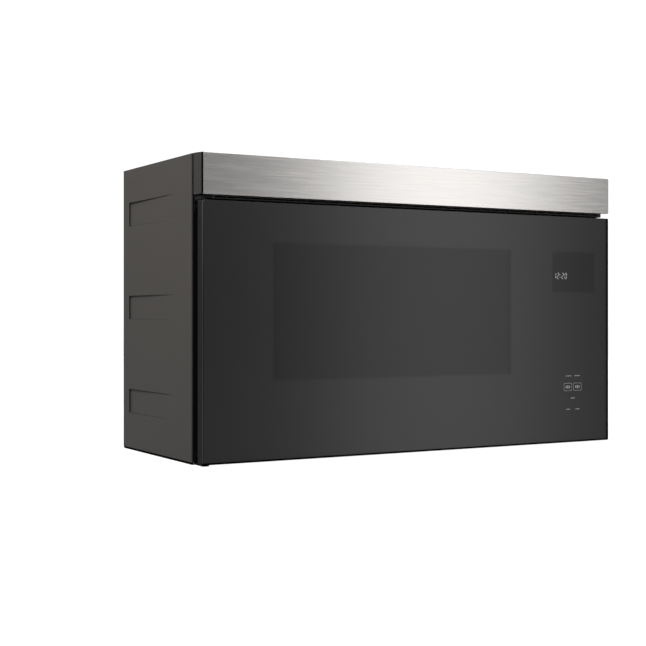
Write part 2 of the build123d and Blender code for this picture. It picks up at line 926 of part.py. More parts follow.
def oven_cavity():
    """Drawn steel liner of the oven: box, floor well and front flange."""
    outer_x = (cavity_left - cavity_sheet, cavity_right + cavity_sheet)
    outer_z = (cavity_floor - cavity_sheet, cavity_top + cavity_sheet)
    outer = block(outer_x, (frame_back, cavity_back + cavity_sheet), outer_z)
    outer = fillet(outer.edges().group_by(Axis.Y)[-1], cavity_corner + cavity_sheet)
    inner_y = (frame_back - cavity_corner, cavity_back)
    inner = block((cavity_left, cavity_right), inner_y, (cavity_floor, cavity_top))
    inner = fillet(inner.edges().group_by(Axis.Y)[-1], cavity_corner)
    well = (cavity_x, cavity_middle)
    well_outer = extrude(Circle(well_radius + cavity_sheet), well_depth)
    well_inner = extrude(Circle(well_radius), well_depth + past)
    flange = block(
        (cavity_left - cavity_flange, cavity_right + cavity_flange),
        (frame_back, frame_back + cavity_sheet),
        (cavity_floor - cavity_flange, cavity_top + cavity_flange),
    )
    liner = outer + Pos(*well, well_bottom - cavity_sheet) * well_outer + flange
    liner = liner - inner - Pos(*well, well_bottom) * well_inner
    liner = liner - rod("z", (*well, well_bottom), coupling_radius, 4 * cavity_sheet)
    return liner - rod("x", (cavity_right, lamp_y, lamp_level), lamp_opening_radius, 4 * cavity_sheet)


def ceramic_floor():
    """Flat ceramic plate over the stirrer well."""
    x = (cavity_left + floor_margin, cavity_right - floor_margin)
    y = (frame_back + floor_margin, cavity_back - floor_margin)
    slab = level_plate(x, y, (cavity_floor, cavity_floor + floor_plate), cavity_corner)
    return chamfer(slab.edges().group_by(Axis.Z)[-1], floor_bevel)


def waveguide():
    """Rectangular tube under the oven, from the magnetron to the stirrer."""
    start = cavity_x - guide_width / 2 - guide_end
    end = magnetron_x + magnetron_width / 2
    y = span(cavity_middle, guide_width)
    tube = block((start, end), y, (guide_bottom, guide_top))
    tube = fillet(tube.edges().filter_by(Axis.Z), corner_radius)
    inner_x = (start + guide_sheet, end - guide_sheet)
    inner_z = (guide_bottom + guide_sheet, guide_top - guide_sheet)
    tube = tube - block(inner_x, span(cavity_middle, guide_width - 2 * guide_sheet), inner_z)
    lip_x = (magnetron_x - magnetron_width / 2, end + guide_lip)
    lip_y = span(cavity_middle, guide_width + 2 * guide_lip)
    tube = tube + level_plate(lip_x, lip_y, (guide_top - guide_sheet, guide_top), corner_radius)
    cut = 4 * guide_sheet
    tube = tube - rod("z", (cavity_x, cavity_middle, guide_top), coupling_radius, cut)
    tube = tube - rod("z", (cavity_x, cavity_middle, guide_bottom), shaft_radius + shaft_gap, cut)
    return tube - rod("z", (magnetron_x, cavity_middle, guide_top), antenna_radius + antenna_gap, cut)


def stirrer_antenna():
    """Turning plate that spreads the microwaves, with its hub and shaft."""
    level = well_bottom + stirrer_rise
    disc = Circle(stirrer_radius)
    wide = SlotArc(CenterArc((0, 0), stirrer_slot_radius, *stirrer_slot_angles), stirrer_slot)
    narrow = SlotArc(CenterArc((0, 0), stirrer_gap_radius, *stirrer_gap_angles), stirrer_gap)
    notch = Pos(stirrer_notch_x, -stirrer_notch_y) * Rectangle(stirrer_notch, stirrer_notch_width)
    turning = extrude(disc - wide - narrow - notch, stirrer_sheet)
    hub = extrude(Circle(stirrer_hub), stirrer_hub_drop + stirrer_sheet + stirrer_hub_rise)
    shaft_bottom = guide_bottom - motor_boss - stirrer_engage
    shaft = extrude(Circle(shaft_radius), level - shaft_bottom)
    pieces = [turning, Pos(0, 0, -stirrer_hub_drop) * hub, Pos(0, 0, shaft_bottom - level) * shaft]
    return Pos(cavity_x, cavity_middle, level) * merge(pieces)


def stirrer_motor():
    """Flat synchronous motor hung under the waveguide on two ears."""
    can = extrude(Circle(stirrer_motor_radius), -stirrer_motor_height)
    can = chamfer(can.edges().group_by(Axis.Z)[0], stirrer_motor_bevel)
    boss = extrude(Circle(motor_boss_radius), motor_boss)
    ears = extrude(SlotOverall(2 * (stirrer_motor_radius + ear_reach), ear_width), ear_sheet)
    posts = extrude(repeated(Locations((-ear_offset, 0), (ear_offset, 0)), Circle(ear_post)), motor_boss)
    plug_y = (stirrer_motor_radius - motor_plug_bite, stirrer_motor_radius + motor_plug_reach)
    plug = block((-motor_plug_half, motor_plug_half), plug_y, (-motor_plug_low, -motor_plug_top))
    body = merge([can, boss, Pos(0, 0, -ear_sheet / 2) * ears, posts, plug])
    bore = extrude(Circle(shaft_radius + running), stirrer_engage + motor_boss + past)
    body = body - Pos(0, 0, -stirrer_engage - air) * bore
    return Pos(cavity_x, cavity_middle, guide_bottom - motor_boss) * body


def magnetron():
    """Magnetron: base plate, antenna dome, finned core in its yoke, filter box."""
    x = span(0, magnetron_width)
    y = span(0, magnetron_depth)
    base = block(x, y, (0, magnetron_base))
    antenna = Pos(0, 0, -antenna_length) * extrude(Circle(antenna_radius), antenna_length)
    antenna = fillet(antenna.edges().group_by(Axis.Z)[0], antenna_dome)
    yoke_y = (y[0] + yoke_inset, y[1] - yoke_inset)
    yoke = block(x, yoke_y, (magnetron_base, magnetron_height))
    hollow_x = (x[0] + yoke_sheet, x[1] - yoke_sheet)
    hollow_z = (magnetron_base + yoke_sheet, magnetron_height - yoke_sheet)
    yoke = yoke - block(hollow_x, (yoke_y[0] - past, yoke_y[1] + past), hollow_z)
    core = Pos(0, 0, hollow_z[0]) * extrude(Circle(core_radius), hollow_z[1] - hollow_z[0])
    pieces = [base, antenna, yoke, core]
    fin_x = (x[0] + fin_inset, x[1] - fin_inset)
    fin_y = (yoke_y[0] + yoke_sheet, yoke_y[1] - yoke_sheet)
    for number in range(fin_count):
        fin_z = fin_start + fin_pitch * number
        pieces.append(block(fin_x, fin_y, (fin_z, fin_z + fin)))
    box_top = magnetron_height + filter_box_height
    box = block((-filter_box_x, filter_box_x), (-filter_box_y, filter_box_y), (magnetron_height, box_top))
    plug_x = (filter_box_x, filter_box_x + filter_plug_reach)
    plug_z = (magnetron_height + filter_plug_low, magnetron_height + filter_plug_high)
    plug = block(plug_x, (-filter_plug_half, filter_plug_half), plug_z)
    return Pos(magnetron_x, cavity_middle, guide_top) * merge(pieces + [box, plug])


def hv_transformer():
    """Laminated core on a foot plate, with two windings and their spade terminals."""
    half = transformer_width / 2
    deep = transformer_depth / 2 - core_inset
    core = block((-half, half), (-deep, deep), (0, transformer_height))
    slot_z = (core_limb, transformer_height - core_limb)
    for side in (-1, 1):
        xs = sorted((side * core_limb, side * (half - core_limb)))
        core = core - block(xs, (-deep - past, deep + past), slot_z)
    foot_y = (-deep - core_foot, deep + core_foot)
    foot = level_plate((-half, half), foot_y, (0, plate), core_foot_corner)
    pieces = [core, foot]
    split = slot_z[0] + coil_gap + coil_low
    winding = RectangleRounded(2 * (half - coil_inset), transformer_depth, coil_corner)
    for bottom, top in ((slot_z[0] + coil_gap, split), (split + 2 * coil_gap, slot_z[1] - coil_gap)):
        pieces.append(Pos(0, 0, bottom) * extrude(winding, top - bottom))
    tab_y = (-transformer_depth / 2 - terminal_reach, -transformer_depth / 2 + past)
    tab_z = (split + terminal_reach, split + terminal_reach + tab_thickness)
    for tab_x in terminal_offsets:
        pieces.append(block((tab_x - terminal_half, tab_x + terminal_half), tab_y, tab_z))
    return Pos(transformer_x, transformer_y, sheet) * merge(pieces)


def hv_capacitor():
    """Oval capacitor can with a rolled rim, strap foot and two terminals."""
    can = extrude(SlotOverall(can_length, can_width), can_height)
    can = fillet(can.edges().group_by(Axis.Z)[0], can_edge)
    rim = extrude(SlotOverall(can_length + 2 * can_rim, can_width + 2 * can_rim), can_rim_height)
    rim_top = can_height - can_rim_drop + can_rim_height
    holes = repeated(Locations((-strap_hole_x, 0), (strap_hole_x, 0)), Circle(strap_hole_radius))
    foot = extrude(SlotOverall(strap_length, strap_width) - holes, strap_sheet)
    pin = Rectangle(tab_width, tab_thickness)
    pins = extrude(repeated(Locations((-can_pin_x, 0), (can_pin_x, 0)), pin), tab_length)
    pieces = [can, Pos(0, 0, rim_top - can_rim_height) * rim, foot, Pos(0, 0, rim_top) * pins]
    return Pos(capacitor_x, transformer_y, sheet) * merge(pieces)


def hv_diode():
    """High-voltage diode: moulded body on a grounded ring tag."""
    tag = extrude(SlotOverall(diode_tag_length, diode_tag_width), sheet)
    stem = block(span(diode_x, diode_stem), span(0, 2 * diode_stem), (0, diode_rise))
    body = rod("x", (diode_x + diode_length / 2, 0, diode_rise), diode_radius, diode_length)
    return Pos(capacitor_x - diode_gap, transformer_y, sheet) * merge([tag, stem, body])


def fan_place():
    """Front face of the fan frame, with Z towards the front."""
    return Pos(fan_x, fan_y + shroud_depth / 2, fan_level) * Rot(90, 0, 0)


def fan_shroud():
    """Square fan frame on the rear sheet, with a round throat and motor spider."""
    side = 2 * (fan_radius + shroud_wall)
    frame = extrude(RectangleRounded(side, side, shroud_corner), shroud_depth)
    throat = extrude(Circle(fan_radius + fan_tip_air), shroud_depth + 2 * past)
    frame = frame - Pos(0, 0, -past) * throat
    corner = side - 2 * shroud_foot_inset
    feet = extrude(repeated(GridLocations(corner, corner, 2, 2), Circle(shroud_foot)), shroud_back)
    pieces = [frame, Pos(0, 0, -shroud_back) * feet]
    for turn in spider_angles:
        arm = Box(2 * (fan_radius + spider_reach), spider, moulding)
        pieces.append(Pos(0, 0, shroud_depth - moulding / 2) * Rot(0, 0, turn) * arm)
    pieces.append(Pos(0, 0, shroud_depth - moulding) * extrude(Circle(spider_hub), moulding))
    bore = rod("z", (0, 0, shroud_depth), shaft_radius + past, 4 * moulding)
    return fan_place() * (merge(pieces) - bore)


def fan_motor():
    """Shaded-pole motor that drives the cooling fan from the front of its spider."""
    rear = fan_y - shroud_depth / 2
    can_y = (rear - fan_motor_depth, rear)
    side = 2 * fan_motor_half
    stack = front_plate(span(fan_x, side), span(fan_level, side), can_y, corner_radius)
    bell = rod("y", (fan_x, can_y[0] - fan_bell_length / 2, fan_level), fan_bell_radius, fan_bell_length)
    coil_y = (can_y[0] + fan_coil_inset, can_y[1] - fan_coil_inset)
    coil_z = (fan_level - fan_coil_drop, fan_level - fan_motor_half + past)
    coil = block(span(fan_x, 2 * fan_coil_half), coil_y, coil_z)
    bore = rod("y", (fan_x, rear, fan_level), shaft_radius + running, 2 * (fan_shaft_grip + fan_bell_length))
    return merge([stack, bell, coil]) - bore


def cooling_fan():
    """Axial fan with pitched blades on a hub, and its shaft."""
    hub = extrude(Circle(fan_hub), fan_depth - 2 * moulding)
    hub = fillet(hub.edges().group_by(Axis.Z)[0], fan_hub_edge)
    fan = Pos(0, 0, moulding) * hub
    middle = fan_depth / 2
    root = Plane((fan_hub - moulding, 0, middle), x_dir=(0, 1, 0), z_dir=(1, 0, 0))
    tip = Plane((fan_radius, 0, middle), x_dir=(0, 1, 0), z_dir=(1, 0, 0))
    inner = root * Rot(0, 0, fan_root_pitch) * Rectangle(fan_root_width, fan_blade)
    outer = tip * Rot(0, 0, fan_tip_pitch) * Rectangle(fan_tip_width, fan_tip_blade)
    blade = loft([inner, outer])
    for number in range(fan_blade_count):
        fan = fan + Rot(0, 0, number * 360 / fan_blade_count) * blade
    shaft = extrude(Circle(shaft_radius), shroud_depth + fan_shaft_grip - 2 * moulding)
    return fan_place() * Pos(0, 0, past) * (fan + Pos(0, 0, 2 * moulding) * shaft)


def scroll_face(grow):
    """Volute outline round the wheel: three growing arcs and an upward outlet."""
    first = scroll_start
    step = scroll_growth
    top = (0, first)
    front_point = (-first, 0)
    low = (step, -first - step)
    rear = (first + 3 * step, step)
    exit_level = blower_top - blower_level
    lines = [
        RadiusArc(top, front_point, -first),
        RadiusArc(front_point, low, -first - step),
        RadiusArc(low, rear, -first - 2 * step),
        Line(rear, (rear[0], exit_level)),
        Line((rear[0], exit_level), (tongue_inset, exit_level)),
        Line((tongue_inset, exit_level), top),
    ]
    face = make_face(Curve() + lines)
    return offset(face, amount=grow) if grow else face


def blower_housing():
    """Two volutes joined by a motor cradle, blowing up into the exhaust collar."""
    stand = Plane(origin=(0, blower_y, blower_level), x_dir=(0, 1, 0), z_dir=(1, 0, 0))
    outer = extrude(stand * scroll_face(scroll_wall), scroll_width, dir=(1, 0, 0))
    inner = extrude(stand * scroll_face(0), scroll_width - 2 * scroll_wall, dir=(1, 0, 0))
    shell = outer - Pos(scroll_wall, 0, 0) * inner
    over = block((-past, scroll_width + past), span(blower_y, 4 * scroll_start), (blower_top, height))
    inlet_middle = (scroll_width / 2, blower_y, blower_level)
    shell = shell - over - rod("x", inlet_middle, inlet_share * wheel_radius, scroll_width + 2 * past)
    volutes = [Pos(side * scroll_x - scroll_width / 2, 0, 0) * shell for side in (-1, 1)]
    cradle_top = blower_level - blower_motor_radius - cradle_gap
    cradle_z = (cradle_top - cradle_sheet, cradle_top)
    reach = scroll_x - scroll_width / 2 + scroll_wall
    bridge = block((-reach, reach), span(blower_y, 2 * cradle_half), cradle_z)
    rest_y = span(blower_y, 2 * (cradle_half - rest_inset))
    rests = block((-rest_half, rest_half), rest_y, (cradle_z[0], blower_level))
    rests = rests - rod("x", (0, blower_y, blower_level), blower_motor_radius, 3 * rest_half)
    feet_y = (blower_y - cradle_half, blower_y - cradle_half + cradle_sheet)
    feet = block((-reach, reach), feet_y, (blower_bottom, cradle_top))
    return merge(volutes + [bridge, rests, feet])


def blower_motor():
    """Double-ended motor between the two wheels, with end bells."""
    middle = (0, blower_y, blower_level)
    can = rod("x", middle, blower_motor_radius, blower_motor_length - 2 * motor_bell_length)
    bells = rod("x", middle, motor_bell_share * blower_motor_radius, blower_motor_length)
    band = rod("x", middle, blower_motor_radius + motor_band_height, motor_band)
    band = Pos(blower_motor_length / 2 - motor_band_inset - motor_band, 0, 0) * band
    bore = rod("x", middle, shaft_radius + running, blower_motor_length + 2 * past)
    return merge([can, bells, band]) - bore


def blower_shaft():
    """Shaft through the motor that carries a wheel at each end."""
    length = 2 * (scroll_x + scroll_width / 2 - shaft_inset)
    shaft = rod("x", (0, blower_y, blower_level), shaft_radius, length)
    return chamfer(shaft.edges().filter_by(GeomType.CIRCLE), shaft_bevel)


def blower_wheel(side):
    """Squirrel-cage wheel: forward-curved blades between a web and two rings."""
    inner = wheel_radius - blade_depth
    tip = wheel_radius - blade_tip
    blade_end = (tip * math.cos(blade_sweep), tip * math.sin(blade_sweep))
    camber = ((inner + wheel_radius) / 2 + air, -blade_camber)
    blade = trace(ThreePointArc((inner, 0), camber, blade_end), blade_sheet)
    blades = extrude(repeated(PolarLocations(0, wheel_blade_count), blade), wheel_width)
    ring = extrude(Circle(wheel_radius) - Circle(inner), wheel_ring)
    web = extrude(Circle(wheel_radius), wheel_web)
    hub = extrude(Circle(wheel_hub), 2 * wheel_hub)
    middle = wheel_width / 2
    pieces = [ring, Pos(0, 0, wheel_width - wheel_ring) * ring]
    pieces += [Pos(0, 0, middle - wheel_web / 2) * web, Pos(0, 0, middle - wheel_hub) * hub]
    bore = rod("z", (0, 0, middle), shaft_radius, wheel_width + 2 * past)
    place = Pos(side * scroll_x - middle, blower_y, blower_level) * Rot(0, 90, 0)
    return place * (merge(pieces) + blades - bore)


def exhaust_adaptor():
    """Rectangular collar under the top panel, flanged, with ears for the flap pins."""
    top = height - sheet
    collar = duct_box(moulding, (top - collar_height, top))
    flange_x = span(0, duct_width + 2 * (moulding + collar_flange))
    flange_y = (duct_front - moulding - collar_lip, duct_back + moulding + collar_lip)
    flange = level_plate(flange_x, flange_y, (top - moulding, top), corner_radius)
    collar = (collar + flange) - duct_box(0, (top - collar_height - past, top + past))
    for x, y in collar_screw_points():
        collar = collar - rod("z", (x, y, top), screw_radius + fit, 4 * moulding)
    pin_bore = rod("x", (0, flap_y, flap_level), flap_pin + running, duct_width + 2 * moulding)
    return collar - pin_bore


def damper_flap():
    """Light flap that rests across the duct and lifts with the air, on end pins."""
    x = span(0, duct_width - 6 * air)
    start = duct_front + 3 * air
    z = span(flap_level, flap_sheet)
    leaf = block(x, (start, flap_y), z)
    barrel = rod("x", (0, flap_y, flap_level), flap_pin + flap_barrel, x[1] - x[0])
    pins = rod("x", (0, flap_y, flap_level), flap_pin, duct_width + 2 * (moulding - air))
    stiffener = block(x, (start, start + flap_sheet), (z[0], z[1] + flap_rib))
    return merge([leaf, barrel, pins, stiffener])


def cord_bushing():
    """Bushing in the cord hole of the top panel, with a lip below."""
    middle = (cord_x, cord_y, cord_middle)
    sleeve = rod("z", middle, cord_radius + moulding, cord_length)
    lip_middle = (cord_x, cord_y, height - sheet - cord_lip_height / 2)
    lip = rod("z", lip_middle, cord_radius + moulding + cord_lip, cord_lip_height)
    return (sleeve + lip) - rod("z", middle, cord_radius, cord_length + 2 * past)


def cavity_lamp():
    """Lamp on the oven's right wall: socket box, bracket and bulb in the lamp hole."""
    start = cavity_right + cavity_sheet
    bulb_middle = start + bulb_start + bulb_length / 2
    bulb = rod("x", (bulb_middle, lamp_y, lamp_level), bulb_radius, bulb_length)
    bulb = fillet(bulb.edges().group_by(Axis.X)[0], bulb_dome)
    socket_x = (start + socket_start, start + socket_end)
    side = 2 * socket_half
    socket = block(socket_x, span(lamp_y, side), span(lamp_level, side))
    socket = fillet(socket.edges().filter_by(Axis.X), socket_edge)
    rise = 2 * lamp_foot_height
    legs = block((start, socket_x[0] + lamp_foot_sheet), span(lamp_y, 2 * lamp_foot), span(lamp_level, rise))
    between = span(lamp_y, 2 * (lamp_foot - lamp_foot_sheet))
    legs = legs - block((start - past, socket_x[0]), between, span(lamp_level, rise + 2 * past))
    return merge([bulb, socket, legs])


def lamp_cover():
    """Perforated cover over the lamp hole, seen from inside the oven."""
    disc = extrude(Circle(lamp_opening_radius + cover_margin), cover_sheet)
    opening = Circle(cover_slot_radius)
    holes = repeated(PolarLocations(cover_outer, cover_outer_count), opening)
    holes = holes + repeated(PolarLocations(cover_inner, cover_inner_count), opening)
    disc = disc - Pos(0, 0, -past) * extrude(holes, cover_sheet + 2 * past)
    return Pos(cavity_right - cover_sheet, lamp_y, lamp_level) * Rot(0, 90, 0) * disc


def thermal_cutouts():
    """Two snap-disc cut-outs: one on the oven's top, one on the magnetron."""
    cup = extrude(Circle(cutout_radius), cutout_height)
    flange = extrude(SlotOverall(cutout_flange, cutout_flange_width), cavity_sheet)
    pin = Rectangle(tab_thickness, tab_width)
    tabs = extrude(repeated(Locations((-cutout_pin_x, 0), (cutout_pin_x, 0)), pin), tab_length)
    disc = merge([cup, flange, Pos(0, 0, cutout_height) * tabs])
    oven_place = (cavity_left + oven_cutout_left, frame_back + oven_cutout_back, cavity_top + cavity_sheet)
    magnetron_place = (magnetron_x - magnetron_cutout_x, cavity_middle, guide_top + magnetron_height)
    on_oven = Pos(*oven_place) * disc
    on_magnetron = Pos(*magnetron_place) * Rot(0, 0, 90) * disc
    return Compound(children=[on_oven, on_magnetron])


def switch_places():
    """X and Z of the three interlock switches, one behind each hook and the finger."""
    return [(latch_x, level) for level in slot_levels]


def switch_bracket():
    """Moulded board behind the oven face with a window and ramp for each hook."""
    xs = (latch_x - board_left, latch_x + board_right)
    zs = (hook_levels[0] - board_end, hook_levels[1] + board_end)
    spine_y = (switch_front + switch_depth, switch_front + switch_depth + moulding)
    pieces = [front_plate(xs, zs, spine_y, corner_radius + moulding)]
    foot_y = (frame_back, spine_y[1])
    for share in board_foot_places:
        foot_z = span(zs[0] + share * (zs[1] - zs[0]), board_foot_height)
        pieces.append(block((xs[0] + 2 * moulding, xs[0] + 2 * moulding + board_foot), foot_y, foot_z))
        pieces.append(block((xs[1] - moulding - board_foot, xs[1] - moulding), foot_y, foot_z))
    for level in hook_levels:
        nose = level - hook_height / 2 - nose_drop
        low = nose - slot_air - ramp_depth
        foot = low + ramp_foot
        slope = [
            (frame_back, low),
            (spine_y[1], low),
            (spine_y[1], foot),
            (frame_back + ramp_end, foot),
            (frame_back + ramp_crest, nose - air),
            (frame_back, low + ramp_start),
        ]
        pieces.append(side_profile(slope, span(latch_x, ramp_width)))
    return merge(pieces)


def interlock_switches():
    """Three microswitches seated on the bracket, with spade terminals behind."""
    y = (switch_front, switch_front + switch_depth)
    pieces = []
    for x, z in switch_places():
        z_range = span(z, switch_height)
        case = block(span(x, switch_width), y, z_range)
        case = chamfer(case.edges().filter_by(Axis.X).group_by(Axis.Y)[0], switch_bevel)
        tongue_y = (y[0] + switch_tab_back, y[0] + switch_tab_back + tab_thickness)
        tongue = block(span(x, tab_width), tongue_y, (z_range[1] - past, z_range[1] + tab_length))
        bore = rod("y", (x, y[0], z), plunger_radius + running, 2 * plunger_socket)
        pieces.append(case + tongue - bore)
    return Compound(children=pieces)


def switch_plunger(place):
    """Button of one interlock switch, shown pressed in by the hook."""
    x, z = place
    length = plunger_proud + plunger_socket - plunger_floor
    middle_y = switch_front - plunger_proud + length / 2
    pin = rod("y", (x, middle_y, z), plunger_radius, length)
    return fillet(pin.edges().group_by(Axis.Y)[0], plunger_tip)


def control_board():
    """Power board upright on the right side: relays, transformer and connectors."""
    wall = right - sheet
    face = wall - control_gap - board
    front_edge = frame_back + control_front
    low = height - control_drop - control_height
    y = (front_edge, front_edge + control_length)
    pieces = [block((face, face + board), y, (low, low + control_height))]
    post_ys = (y[0] + control_post_inset, y[1] - control_post_inset)
    post_zs = (low + control_post_level, low + control_height - control_post_inset)
    for post_y in post_ys:
        for post_z in post_zs:
            middle = (wall - control_gap / 2, post_y, post_z)
            pieces.append(rod("x", middle, control_post_radius, control_gap))
    for number in range(relay_count):
        start = y[0] + relay_front + relay_pitch * number
        z = (low + relay_rise, low + relay_rise + relay_height)
        pieces.append(block((face - relay_depth, face), (start, start + relay_width), z))
    supply_y = (y[0] + supply_front, y[0] + supply_front + supply_width)
    supply_z = (low + supply_rise, low + supply_rise + supply_height)
    pieces.append(block((face - supply_depth, face), supply_y, supply_z))
    for number in range(header_count):
        start = y[0] + header_front + header_pitch * number
        z = (low + header_rise, low + header_rise + header_height)
        pieces.append(block((face - header_depth, face), (start, start + header_width), z))
        middle = (face - buffer_length / 2, start + buffer_front, low + supply_rise)
        pieces.append(rod("x", middle, buffer_radius, buffer_length))
    return merge(pieces)


def vent_trim_strip():
    """Brushed strip: flat face with its long edges folded back."""
    y = (front, front + trim_return)
    strip = block((left, right), y, (strip_bottom, strip_top))
    strip = fillet(strip.edges().filter_by(Axis.X).group_by(Axis.Y)[0], strip_edge)
    inner_z = (strip_bottom + sheet, strip_top - sheet)
    inner = block((left - past, right + past), (front + sheet, y[1] + past), inner_z)
    through = (y[0] - past, y[1] + past)
    outline = front_plate((left, right), (strip_bottom, strip_top), through, strip_corner)
    return (strip - inner) & outline


def strip_end(side):
    """Moulded end cap behind the strip, with a sloping top and rounded low corners."""
    face = side * width / 2
    start = front + trim_return
    end = start + cap_depth
    low = strip_bottom + strip_corner / 2
    points = [(start, low), (end, low), (end, height), (start, height - cap_slope)]
    inner_face = side * (width / 2 - 3 * cap_wall)
    cap = side_profile(points, sorted((face, inner_face)))
    cap = fillet(cap.edges().filter_by(Axis.X).group_by(Axis.Z)[0], corner_radius)
    roof = height - 2 * cap_wall
    pocket = [(start - past, low + cap_wall), (end - cap_wall, low + cap_wall)]
    pocket += [(end - cap_wall, roof), (start - past, roof)]
    wall_x = side * (width / 2 - cap_wall)
    cap = cap - side_profile(pocket, sorted((wall_x, inner_face - side * past)))
    plug_x = sorted((side * (width / 2 - cap_plug_inset), inner_face))
    plug_z = (strip_bottom + sheet + fit, strip_top - sheet - fit)
    cap = cap + block(plug_x, (front + sheet + fit, start + cap_wall), plug_z)
    for rib_z in (low + (height - low) / 3, low + 2 * (height - low) / 3):
        cap = cap + block(sorted((wall_x, inner_face)), (start, end - cap_wall), span(rib_z, moulding))
    return cap


def strip_bracket():
    """Steel channel that carries the strip and caps on the front of the top panel."""
    x = (left + 3 * cap_wall + fit, right - 3 * cap_wall - fit)
    start = front + trim_return
    top_z = (strip_top - 2 * sheet, strip_top - sheet)
    tail_z = (height - 2 * sheet, height - sheet)
    riser_y = (frame_back, frame_back + sheet)
    roof = block(x, (front + sheet, riser_y[1]), top_z)
    lip = block(x, (start, start + sheet), (strip_top - strip_height / 2, top_z[1]))
    riser = block(x, riser_y, (top_z[0], tail_z[1]))
    tail = block(x, (riser_y[0], riser_y[1] + flange_width), tail_z)
    notch = extrude(SlotOverall(bracket_notch_length, bracket_notch_width), 3 * sheet)
    piece = merge([roof, lip, riser, tail])
    for notch_x in spread(bracket_notch_count, (x[1] - x[0]) / bracket_notch_count, 0):
        piece = piece - Pos(notch_x, (start + cabinet_front) / 2, top_z[0] - sheet) * notch
    return piece


def mirrored(direction):
    """Direction of the left end's curve, which runs the other way."""
    return (direction[0], -direction[1])


def grille_outline(shrink):
    """Plan of the vent insert: a long bar whose front corners curve away."""
    start = front + grille_front + shrink
    end = cabinet_front - 2 * air - shrink
    wide = width / 2 - grille_end - shrink
    narrow = width / 2 - grille_inset - shrink
    bend = start + grille_bend
    lines = [
        Line((-narrow, start), (narrow, start)),
        Spline((narrow, start), (wide, bend), tangents=(grille_leave, grille_meet)),
        Line((wide, bend), (wide, end)),
        Line((wide, end), (-wide, end)),
        Line((-wide, end), (-wide, bend)),
        Spline((-wide, bend), (-narrow, start), tangents=(mirrored(grille_meet), mirrored(grille_leave))),
    ]
    return make_face(Curve() + lines)


def vent_grille():
    """Insert in the slot over the door: a rim with a row of upright vanes."""
    low = door_top + 2 * air + plate
    high = strip_bottom - fit
    rear = cabinet_front - 2 * air
    rim = Pos(0, 0, low) * upright(grille_outline(0), high - low)
    hollow = upright(grille_outline(2 * grille_wall), high - low - grille_wall + past)
    rim = rim - Pos(0, 0, low - past) * hollow
    window_x = width / 2 - grille_inset - grille_post
    window_z = (low + grille_wall, high - grille_wall)
    front_y = (front + grille_front - past, front + grille_front + 2 * grille_wall + past)
    rear_y = (rear - 3 * grille_wall, rear + past)
    rim = rim - block((-window_x, window_x), front_y, window_z)
    rim = rim - block((-window_x, window_x), rear_y, window_z)
    pieces = [rim]
    count = 2 * int(window_x / vane_pitch) + 1
    for vane_x in spread(count, vane_pitch, 0):
        pieces.append(block(span(vane_x, vane), (front + grille_front, rear), (low, high)))
    for share in (-clip_side, -clip_middle, clip_middle, clip_side):
        clip_z = (high - past, high + clip_height)
        pieces.append(block(span(share * width, clip_width), (rear - clip_depth, rear), clip_z))
    return merge(pieces)


def charcoal_filter():
    """Filter cartridge across the vent outlet: a frame round a bed of granules."""
    start = frame_back + 2 * sheet + fit
    z = (strip_bottom, height - 2 * sheet - fit)
    y = (start, start + charcoal_thickness)
    x = span(0, charcoal_width)
    whole = front_plate(x, z, y, moulding)
    cell = (charcoal_width - 2 * charcoal_frame) / charcoal_cell_count
    dish_z = (z[0] + charcoal_frame, z[1] - charcoal_frame)
    for middle in spread(charcoal_cell_count, cell, 0):
        for face_y in ((y[0] - past, y[0] + charcoal_dish), (y[1] - charcoal_dish, y[1] + past)):
            whole = whole - front_plate(span(middle, cell - charcoal_bar), dish_z, face_y, corner_radius)
    return whole


def hinge_bracket(upper):
    """Screwed foot on the oven face with an arm forward to the door's pin."""
    if upper:
        arm_z = (door_top + air, door_top + air + plate)
        foot_z = (door_top - arm_foot, arm_z[1])
    else:
        arm_z = (door_bottom - air - plate, door_bottom - air)
        foot_z = (arm_z[0], door_bottom + arm_foot + plate)
    xs = (hinge_x - arm_outer, hinge_x + arm_inner)
    foot = front_plate(xs, foot_z, (cabinet_front - plate, cabinet_front), sheet)
    tongue = Pos(hinge_x, hinge_y, arm_z[0]) * extrude(Circle(arm_tip_radius), plate)
    outline = [
        (xs[0], cabinet_front),
        (xs[0], hinge_y),
        (hinge_x + arm_tip_radius - arm_screw_near, hinge_y),
        (xs[1], cabinet_front - arm_taper),
        (xs[1], cabinet_front),
    ]
    reach = Pos(0, 0, arm_z[0]) * upright(make_face(Polyline(*outline, close=True)), plate)
    piece = merge([foot, reach, tongue])
    piece = piece - rod("z", (hinge_x, hinge_y, sum(arm_z) / 2), pin_radius, 2 * plate)
    for x_screw, z_screw in arm_screw_points():
        piece = piece - rod("y", (x_screw, cabinet_front, z_screw), screw_radius + fit, 6 * plate)
    return piece


def hinge_pin(upper):
    """Stepped pin riveted in the bracket's arm, standing in the door's boss."""
    direction = -1 if upper else 1
    arm_face = door_top + air if upper else door_bottom - air
    pin = extrude(Circle(pin_radius), direction * (pin_length + air))
    stub = extrude(Circle(pin_radius), -direction * plate)
    whole = Pos(hinge_x, hinge_y, arm_face) * (pin + stub)
    tip = whole.edges().filter_by(GeomType.CIRCLE).sort_by(Axis.Z)
    return chamfer(tip[0] if upper else tip[-1], pin_bevel)


def screw(place, turn, length):
    """Pan-head screw, its head standing out along the turned Z."""
    shank = Pos(0, 0, -length) * extrude(Circle(screw_radius), length)
    head = extrude(Circle(screw_head), screw_head_height)
    head = fillet(head.edges().group_by(Axis.Z)[-1], screw_dome)
    cross = Rectangle(recess_length, recess_width) + Rectangle(recess_width, recess_length)
    recess = Pos(0, 0, screw_head_height - screw_recess) * extrude(cross, screw_recess + past)
    return Pos(*place) * turn * ((shank + head) - recess)


